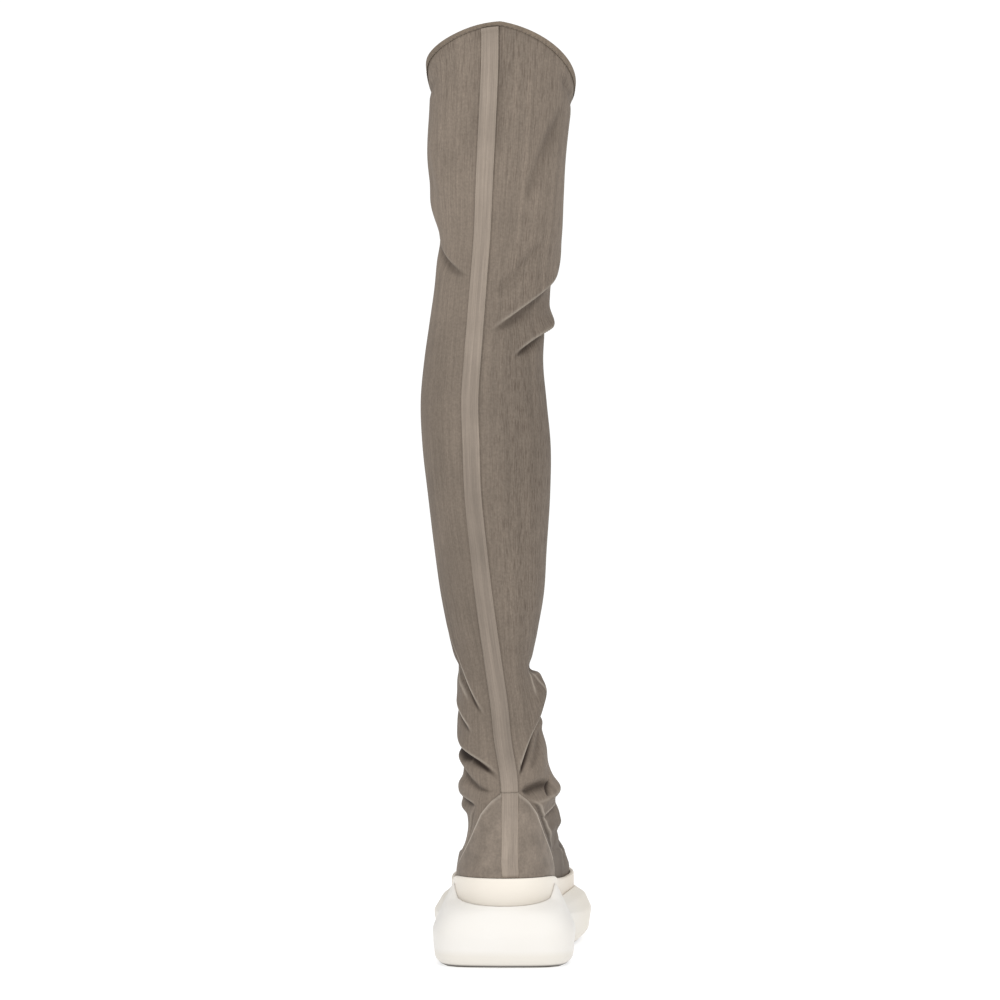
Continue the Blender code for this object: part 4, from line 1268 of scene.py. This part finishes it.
@dataclass
class HeelCounter:
    """A stiff counter from the back stay to its arched seam, its cut edge rounded, lighter and painted with a
    highlight.
    """

    form: BootForm
    side: Side
    finish: bpy.types.Material
    clearance: float = 0.6
    thickness: float = 1.2
    edge_extra: float = 0.7
    edge_reach: float = 9.0
    beside_stay: float = -0.5
    end_deg: float = 55.5
    edge_round: float = 1.7
    highlight_and_bare: tuple[float, float] = (0.2, 0.75)
    highlight_and_bare_deg: tuple[float, float] = (14.0, 46.0)
    highlight_and_bare_at: float = 1.2
    highlight_and_bare_width: float = 1.3
    sunk: float = 0.3
    taut: float = 0.25
    map_scale: float = 0.7
    breadth: float = 38.0
    depth: float = 66.0
    columns: int = 64
    rows: int = 40
    arch_points: int = 300
    border: tuple[float, ...] = (0.0, 0.12, 0.35, 0.7, 1.1, 1.8)

    def spread(self, count: int, length: float) -> Array:
        """Shares from 0 to 1, close together at both borders and even between."""
        near = np.array(self.border) / length
        middle = np.linspace(near[-1], 1.0 - near[-1], count)[1:-1]
        return np.concatenate((near, middle, 1.0 - near[::-1]))

    def build(self) -> bpy.types.Object:
        """Make the counter: rows from the arched edge to the foxing, quarter-round borders."""
        form, sign = self.form, self.side.value
        seam = form.down_at_height(np.zeros(1), form.seam_height)
        from_stay = form.stay_half_width + self.beside_stay
        first = form.turn_per_mm(seam)[0] * from_stay
        far = math.radians(self.end_deg)
        share = self.spread(self.columns, self.breadth)
        angles = sign * (first + (far - first) * share)
        start = form.down_at_height(angles, form.counter_top(np.degrees(angles)))
        end = form.band_edge_down(angles)
        fall = self.spread(self.rows, self.depth)[:, None]
        down = start + (end - start) * fall
        near = (form.turn_per_mm(down[:, 0]) * from_stay)[:, None]
        turns = sign * (near + (far - near) * share)

        points = form.surface(down, turns)
        arch_at = np.linspace(angles[0], angles[-1], self.arch_points)
        arch_down = form.down_at_height(arch_at, form.counter_top(np.degrees(arch_at)))
        arch = np.concatenate((form.surface(arch_down, arch_at), points[:, -1]))
        edge_gap = np.linalg.norm(points[:, :, None] - arch, axis=-1).min(axis=-1)
        stay_gap = np.linalg.norm(points - points[:, :1], axis=-1)
        inset = np.clip(np.minimum(edge_gap, stay_gap) / self.edge_round, 0.0, 1.0)
        thick = self.thickness + self.edge_extra * bell(edge_gap, self.edge_reach)
        rise = thick * np.sqrt(1.0 - (1.0 - inset) ** 2)
        top = form.surface(down, turns, self.clearance + rise)
        under = form.surface(down, turns, np.full(turns.shape, self.clearance - self.sunk))
        across = np.degrees(turns) * self.map_scale
        # The lighter edge: the bare cut edge and a painted highlight on it, stronger towards the far end
        highlight_and_bare = bell(edge_gap - self.highlight_and_bare_at, self.highlight_and_bare_width)
        highlight_and_bare = highlight_and_bare * np.interp(np.abs(np.degrees(turns)), self.highlight_and_bare_deg, self.highlight_and_bare)
        if sign < 0.0:
            top, under, across, down, highlight_and_bare = (grid[:, ::-1] for grid in (top, under, across, down, highlight_and_bare))
        faces = slab_faces(*turns.shape)
        grid = np.stack((across * MM, down * MM), axis=-1).reshape(-1, 2)
        cut = np.tile(grid, (2, 1))[faces]
        paint = plain_paint(2 * turns.size, self.taut)
        paint["crest"] = np.tile(highlight_and_bare.ravel(), 2)
        node, points = "counter_" + self.side.name.lower(), slab_points(top, under)
        obj = make_piece("heel_" + node, points, faces, (self.finish,), cut=cut, painted=paint)
        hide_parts(node)
        return obj


@dataclass
class CollarHem:
    """The folded hem over the collar's edge: a soft U whose lower edge stands off a little."""

    form: BootForm
    columns: int = 240
    back_share: float = 0.42
    map_radius: float = 55.0
    taut: float = 0.4
    cuts: int = 2
    cut_share: float = 0.25
    # Corners of the U: distance out from the skin and drop below the collar's edge
    profile: tuple[tuple[float, float], ...] = (
        (0.9, -0.3),
        (1.0, 1.2),
        (0.95, 3.0),
        (1.0, 4.6),
        (0.9, 5.4),
        (0.6, 5.7),
        (0.3, 5.5),
        (0.25, 3.0),
        (0.2, -0.3),
        (-2.0, -0.3),
        (-2.1, 3.0),
        (-2.2, 6.4),
        (-2.9, 6.9),
        (-3.5, 6.2),
        (-3.5, 3.0),
        (-3.4, 0.2),
        (-2.4, -1.0),
        (-0.9, -1.3),
        (0.5, -1.0),
    )

    def rounded(self) -> Array:
        """The profile with its corners cut off, each time at a share of both sides."""
        loop, near = np.array(self.profile), self.cut_share
        for _ in range(self.cuts):
            after = np.roll(loop, -1, axis=0)
            pair = ((1.0 - near) * loop + near * after, near * loop + (1.0 - near) * after)
            loop = np.stack(pair, axis=1).reshape(-1, 2)
        return loop

    def height_share(self, turns: Array) -> Array:
        """How tall the hem is: low behind the knee, rising with the square of the angle's sine."""
        rise = np.where(np.cos(turns) > 0.0, np.sin(turns) ** 2, 1.0)
        return self.back_share + (1.0 - self.back_share) * rise

    def frame(self, turns: Array) -> tuple[Array, Array, Array]:
        """The collar's edge, its outward directions and its fall at some angles."""
        edge = self.form.surface(np.zeros(turns.shape), turns)
        outward = self.form.outward(np.zeros(turns.shape), turns)
        fall = unit(self.form.surface(np.full(turns.shape, STEP_DOWN), turns) - edge)
        return edge, outward, fall

    def build(self) -> bpy.types.Object:
        """Carry the U round the collar."""
        turns = np.linspace(0.0, 2.0 * math.pi, self.columns, endpoint=False)
        edge, outward, fall = self.frame(turns)
        loop = self.rounded()
        drop = np.where(loop[:, 1:] > 0.0, loop[:, 1:] * self.height_share(turns), loop[:, 1:])
        grid = edge + outward * loop[:, :1, None] + fall * drop[..., None]
        faces = grid_faces(*grid.shape[:2], wrap_rows=True, wrap_columns=True)
        row, column = faces // self.columns, faces % self.columns
        angle = turns[column]
        angle[self.columns - 1 :: self.columns, 2:] = 2.0 * math.pi
        cut = np.stack((angle * self.map_radius * MM, passed_along(loop)[row] * MM), axis=-1)
        paint = plain_paint(grid.shape[0] * grid.shape[1], self.taut)
        obj = make_piece("collar_hem", grid, faces, (HEM_SKIN.make(),), cut=cut, painted=paint)
        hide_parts("collar_binding")
        return obj


@dataclass
class Stitching:
    """A row of short sunk stitches round the hem, near its lower edge."""

    form: BootForm
    hem: CollarHem
    pitch: float = 4.0
    length: float = 2.7
    thickness: float = 0.42
    hem_drop: float = 4.4
    hem_out: float = 0.85
    sides: int = 8
    flatness: float = 0.7
    line_points: int = 800
    # Rings of a stitch: place along it in lengths, half width and lift in thicknesses
    rings: tuple[tuple[float, float, float], ...] = (
        (-0.5, 0.25, -0.35),
        (-0.34, 0.8, -0.05),
        (0.0, 1.0, 0.0),
        (0.34, 0.8, -0.05),
        (0.5, 0.25, -0.35),
    )

    def stitches(self, centre: Array, along: Array, outward: Array) -> Array:
        """Lay a tapered thread at every centre: rings of points, flattened on the skin.

        Args:
            centre: middles of the stitches.
            along: their directions.
            outward: the directions out of the skin.

        Returns:
            Points as stitches, rings, ring points and x, y, z.
        """
        place, swell, lift = np.array(self.rings).T
        place, swell, lift = place * self.length, swell * self.thickness, lift * self.thickness
        ring = np.linspace(0.0, 2.0 * math.pi, self.sides, endpoint=False)
        across = np.cross(outward, along)
        points = centre[:, None, None] + along[:, None, None] * place[None, :, None, None]
        points = points + across[:, None, None] * (swell[:, None] * np.cos(ring))[None, ..., None]
        height = lift[:, None] + self.flatness * swell[:, None] * np.sin(ring)
        return points + outward[:, None, None] * height[None, ..., None]

    def hem_row(self) -> Array:
        """Stitches round the hem's outer face, spaced by its length."""

        def laid(turns: Array) -> tuple[Array, Array, Array]:
            """Places on the hem's face, with the directions out of it and down it."""
            edge, outward, fall = self.hem.frame(turns)
            drop = self.hem_drop * self.hem.height_share(turns)
            return edge + outward * self.hem_out + fall * drop[:, None], outward, fall

        turns = np.linspace(0.0, 2.0 * math.pi, self.line_points)
        passed = passed_along(laid(turns)[0])
        count = round(passed[-1] / self.pitch)
        at = np.interp((np.arange(count) + 0.5) * passed[-1] / count, passed, turns)
        centre, outward, fall = laid(at)
        return self.stitches(centre, unit(np.cross(fall, outward)), outward)

    def build(self) -> bpy.types.Object:
        """Join all the stitches in one mesh."""
        points = self.hem_row()
        count, rings, around = points.shape[:3]
        tube = grid_faces(rings, around, wrap_columns=True)[:, ::-1]
        first = np.arange(count)[:, None] * rings * around
        quads = (tube[None] + first[..., None]).reshape(-1, 4)
        ring = np.arange(around)
        caps = np.concatenate((ring + first, (rings - 1) * around + ring[::-1] + first))
        obj = make_piece("seam_stitching", points, quads.tolist() + caps.tolist(), (THREAD.make(),))
        return obj


@dataclass
class Sole:
    """The rubber outsole with its ears, the foxing band round the upper, and the footbed inside."""

    form: BootForm
    stations: int = 360
    band_thickness: float = 3.5
    band_round: float = 1.6
    band_corner: int = 7
    # The band's inner top corner: distance out and drop of its two points
    band_bevel: tuple[tuple[float, float], ...] = ((0.0, 0.6), (0.5, 0.1))
    lip_gap: float = 0.1
    lip_thickness: float = 2.4
    lip_round: float = 1.0
    lateral_share: float = 0.9
    lateral_from_deg: float = 60.0
    lateral_full_deg: float = 100.0
    footbed_thickness: float = 5.0
    footbed_gap: float = 0.9
    footbed_rows: int = 92
    footbed_columns: int = 15
    dish: float = 1.6
    dish_width: float = 60.0
    # Steps of the runs from the seat over the lip to the tread, of which the first two stay in place
    steps: tuple[int, ...] = (2, 2, 2, 8, 10, 10, 6, 2)
    held_runs: int = 2
    heel_passes: int = 24
    side_passes: int = 2
    crisp_from_deg: float = 40.0
    crisp_fade_deg: float = 15.0
    tread_rim: float = 2.5
    # The painted contact shadow: its height over the tread, and the share of that height where it is full
    contact_shadow_height: float = 1.9
    contact_shadow_full: float = 0.5

    def angles(self) -> Array:
        """Angles of the stations round the sole."""
        return np.linspace(0.0, 2.0 * math.pi, self.stations, endpoint=False)

    def folded(self) -> Array:
        """Angles of the stations from the heel's back in degrees, the same on both sides."""
        return np.degrees(np.minimum(self.angles(), 2.0 * math.pi - self.angles()))

    def ring(self, out: Any, height: Any) -> Array:
        """A ring round the foot, `out` from the last's outline, at a height or a height function."""
        plan = self.form.last_outline(self.angles(), np.broadcast_to(out, self.stations))
        z = height(plan[:, 1]) if callable(height) else np.broadcast_to(height, self.stations)
        return np.concatenate((plan, z[:, None]), axis=1)

    def outsole_rows(self) -> Array:
        """Rings of the outsole from its seat, over the lip and down the flank, to the tread."""
        folded = self.folded()
        lateral = np.interp(folded, (self.lateral_from_deg, self.lateral_full_deg), (1.0, self.lateral_share))
        share = np.where(self.angles() > math.pi, lateral, 1.0)

        def flank(name: str) -> Array:
            """One column of the flank table at every station."""
            return np.interp(folded, columns_of(FLANKS, "angle"), columns_of(FLANKS, name))

        seat = self.form.gap + self.band_thickness + self.lip_gap
        foot = seat + flank("foot_out") * share

        def tread(along: Array) -> Array:
            """Height of the tread."""
            return self.form.level("tread", along)

        rings = [
            self.ring(seat, lambda along: self.form.level("seat", along)),
            self.ring(seat, flank("lip")),
            self.ring(seat + self.lip_thickness - self.lip_round, flank("lip")),
            self.ring(seat + self.lip_thickness, flank("lip") - self.lip_round),
            self.ring(seat + flank("shoulder_out") * share, flank("shoulder")),
            self.ring(seat + flank("belly_out") * share, flank("belly")),
            self.ring(foot, lambda along: tread(along) + flank("foot")),
            self.ring(foot - flank("foot"), tread),
            self.ring(foot - flank("foot") - self.tread_rim, tread),
        ]
        return np.stack(rings)

    def softened(self, rings: Array) -> Array:
        """Split every run of the profile and round its corners.

        Each run between rings is cut in even steps. A pass takes a quarter, a half and a quarter of a
        point and its neighbours, down the profile and round the sole. The heel's back gets many
        passes, the ears and the forefoot few. The seat, the lip and the tread stay where they are.
        """
        parts = [rings[:1]]
        for low, high, count in zip(rings[:-1], rings[1:], self.steps):
            share = (np.arange(1, count + 1) / count)[:, None, None]
            parts.append(low + (high - low) * share)
        fine = np.concatenate(parts)
        held = sum(self.steps[: self.held_runs])

        def passes(grid: Array, count: int) -> Array:
            """Run a number of passes over the free rows."""
            grid = grid.copy()
            for _ in range(count):
                body = grid.copy()
                body[1:-1] = 0.25 * grid[:-2] + 0.5 * grid[1:-1] + 0.25 * grid[2:]
                body = 0.25 * np.roll(body, 1, axis=1) + 0.5 * body + 0.25 * np.roll(body, -1, axis=1)
                grid[held:-1] = body[held:-1]
            return grid

        soft = ease((self.crisp_from_deg - self.folded()) / self.crisp_fade_deg)[:, None]
        return passes(fine, self.heel_passes) * soft + passes(fine, self.side_passes) * (1.0 - soft)

    def caps(self, columns: int, last: int) -> list[list[int]]:
        """Strips from side to side that close the first ring upwards and the last one downwards."""
        faces = []
        for j in range(columns // 2):
            strip = list(dict.fromkeys((-j % columns, j, j + 1, -(j + 1) % columns)))
            faces += [strip, [last + c for c in reversed(strip)]]
        return faces

    def build_outsole(self) -> bpy.types.Object:
        """Make the rubber block."""
        grid = self.softened(self.outsole_rows())
        rows, columns = grid.shape[:2]
        faces = grid_faces(rows, columns, wrap_columns=True).tolist()
        faces += self.caps(columns, (rows - 1) * columns)
        # Painted contact shadow: darkest at the tread's edge, fading up the flank, none on the tread's flat
        over_floor = grid[..., 2] - self.form.level("tread", grid[..., 1])
        contact_shadow = 1.0 - ease(over_floor / self.contact_shadow_height - self.contact_shadow_full)
        contact_shadow[-1] = 0.0
        obj = make_piece("sculpted_outsole", grid, faces, (WHITE_RUBBER.make(),), painted={"contact_shadow": contact_shadow})
        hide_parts("outsole")
        return obj

    def build_foxing(self) -> bpy.types.Object:
        """Make the band: upright, its top edge a quarter round and its face slightly full."""
        gap, thick = self.form.gap, self.band_thickness
        outer = gap + thick

        def top(drop: float) -> Any:
            """Height a little under the band's top edge."""
            return lambda along: self.form.level("band_top", along) - drop

        def foot(along: Array) -> Array:
            """Height of the band's lower edge."""
            return self.form.level("seat", along) + gap

        turn, bend = np.linspace(math.pi / 2.0, 0.0, self.band_corner), self.band_round
        corner = zip(bend * (1.0 - np.cos(turn)), bend * (1.0 - np.sin(turn)))
        rows = [self.ring(gap, foot)]
        rows += [self.ring(gap + out, top(drop)) for out, drop in self.band_bevel]
        rows += [self.ring(outer - inset, top(drop)) for inset, drop in corner]
        rows += [self.ring(outer, foot)]
        grid = np.stack(rows)
        faces = grid_faces(*grid.shape[:2], wrap_rows=True, wrap_columns=True)
        obj = make_piece("rubber_foxing", grid, faces, (CREAM_RUBBER.make(),))
        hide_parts("foxing_band")
        return obj

    def build_footbed(self) -> bpy.types.Object:
        """Make the footbed: strips across the foot, dished in the middle."""
        form = self.form
        edge = -form.wall - self.footbed_gap
        angle = np.linspace(0.0, math.pi, self.footbed_rows)[1:-1]
        medial, lateral = form.last_outline(angle, edge), form.last_outline(-angle, edge)
        share = np.linspace(0.0, 1.0, self.footbed_columns)
        plan = lateral[:, None] * (1.0 - share[:, None]) + medial[:, None] * share[:, None]
        floor = form.level("seat", plan[..., 1]) + form.gap
        width = np.linalg.norm(medial - lateral, axis=1)[:, None]
        sink = self.dish * (1.0 - (2.0 * share - 1.0) ** 2) * np.clip(width / self.dish_width, 0.0, 1.0)
        top = np.concatenate((plan, (floor + self.footbed_thickness - sink)[..., None]), axis=-1)
        under = np.concatenate((plan, floor[..., None]), axis=-1)
        faces = slab_faces(*plan.shape[:2])[:, ::-1]
        obj = make_piece("felt_footbed", slab_points(top, under), faces, (FOOTBED_FELT.make(),))
        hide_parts("insole")
        return obj


@dataclass
class Studio:
    """White sweep, soft light and the camera at the photograph's height and distance."""

    eye: tuple[float, float, float] = (0.083, -3.2, 0.370)
    aim_x: float = -0.0035
    lens: float = 143.4
    sensor: float = 36.0
    backdrop: float = 1.06
    fill: float = 0.6
    key: float = 1.1
    key_from: tuple[float, float, float] = (0.1, -0.78, 0.62)
    glow: float = 0.72
    floor_colour: str = "#a8a8a8"
    floor_roughness: float = 0.9
    floor_drop: float = 0.5
    floor_half: float = 6.0

    def camera(self) -> None:
        """Level camera, turned to centre the boot."""
        data = bpy.data.cameras.new("camera")
        data.lens, data.sensor_width = self.lens, self.sensor
        obj = bpy.data.objects.new("camera", data)
        obj.location = self.eye
        obj.rotation_euler = (math.pi / 2.0, 0.0, math.atan2(self.eye[0] - self.aim_x, -self.eye[1]))
        bpy.context.scene.collection.objects.link(obj)
        bpy.context.scene.camera = obj

    def sky(self) -> None:
        """Light from all round plus a wide soft box: fill, and key times the cosine to its middle."""
        world = bpy.data.worlds.new("studio")
        world.use_nodes = True
        tree = world.node_tree
        tree.nodes.clear()
        way = add(tree, "ShaderNodeTexCoord", out="Generated")
        key_side = {0: way, 1: self.key_from}
        facing = add(tree, "ShaderNodeVectorMath", key_side, out="Value", operation="DOT_PRODUCT")
        lobe = add(tree, "ShaderNodeMath", {0: facing, 1: 0.0}, operation="MAXIMUM")
        power = add(tree, "ShaderNodeMath", {0: lobe, 1: self.key, 2: self.fill}, operation="MULTIPLY_ADD")
        lit, seen = (
            add(tree, "ShaderNodeBackground", {"Color": linear("#ffffff"), "Strength": strength})
            for strength in (power, self.backdrop)
        )
        straight = add(tree, "ShaderNodeLightPath", out="Is Camera Ray")
        mixed = add(tree, "ShaderNodeMixShader", {0: straight, 1: lit, 2: seen})
        add(tree, "ShaderNodeOutputWorld", {"Surface": mixed})
        bpy.context.scene.world = world

    def floor(self) -> None:
        """A pale plain floor just under the tread."""
        half, drop = self.floor_half, -self.floor_drop * MM
        mesh = bpy.data.meshes.new("floor")
        corners = [(-half, -half, drop), (half, -half, drop), (half, half, drop), (-half, half, drop)]
        mesh.from_pydata(corners, [], [(0, 1, 2, 3)])
        made, tree, shader = new_material("white_paper_sweep")
        surface = {
            "Base Color": linear(self.floor_colour),
            "Roughness": self.floor_roughness,
            "Specular IOR Level": 0.0,
            "Emission Color": linear("#ffffff"),
            "Emission Strength": self.glow,
        }
        feed(tree, shader, surface)
        mesh.materials.append(made)
        obj = bpy.data.objects.new("floor", mesh)
        bpy.context.scene.collection.objects.link(obj)

    def build(self) -> None:
        """Set up sky, floor and camera."""
        bpy.context.scene.view_settings.view_transform = "Standard"
        self.sky()
        self.floor()
        self.camera()


def main() -> None:
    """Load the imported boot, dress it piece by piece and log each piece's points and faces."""
    logging.basicConfig(level=logging.INFO, format="%(message)s")
    for old in list(bpy.data.objects):
        bpy.data.objects.remove(old, do_unlink=True)
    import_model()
    form = BootForm()
    Studio().build()
    Upper(form).build()
    stay_skin, counter_skin = STAY_SKIN.make(), COUNTER_SKIN.make()
    for part in StayPart:
        BackStay(form, part, stay_skin).build()
    for side in Side:
        HeelCounter(form, side, counter_skin).build()
    hem = CollarHem(form)
    hem.build()
    Stitching(form, hem).build()
    sole = Sole(form)
    sole.build_outsole()
    sole.build_foxing()
    sole.build_footbed()


if __name__ == "__main__":
    main()
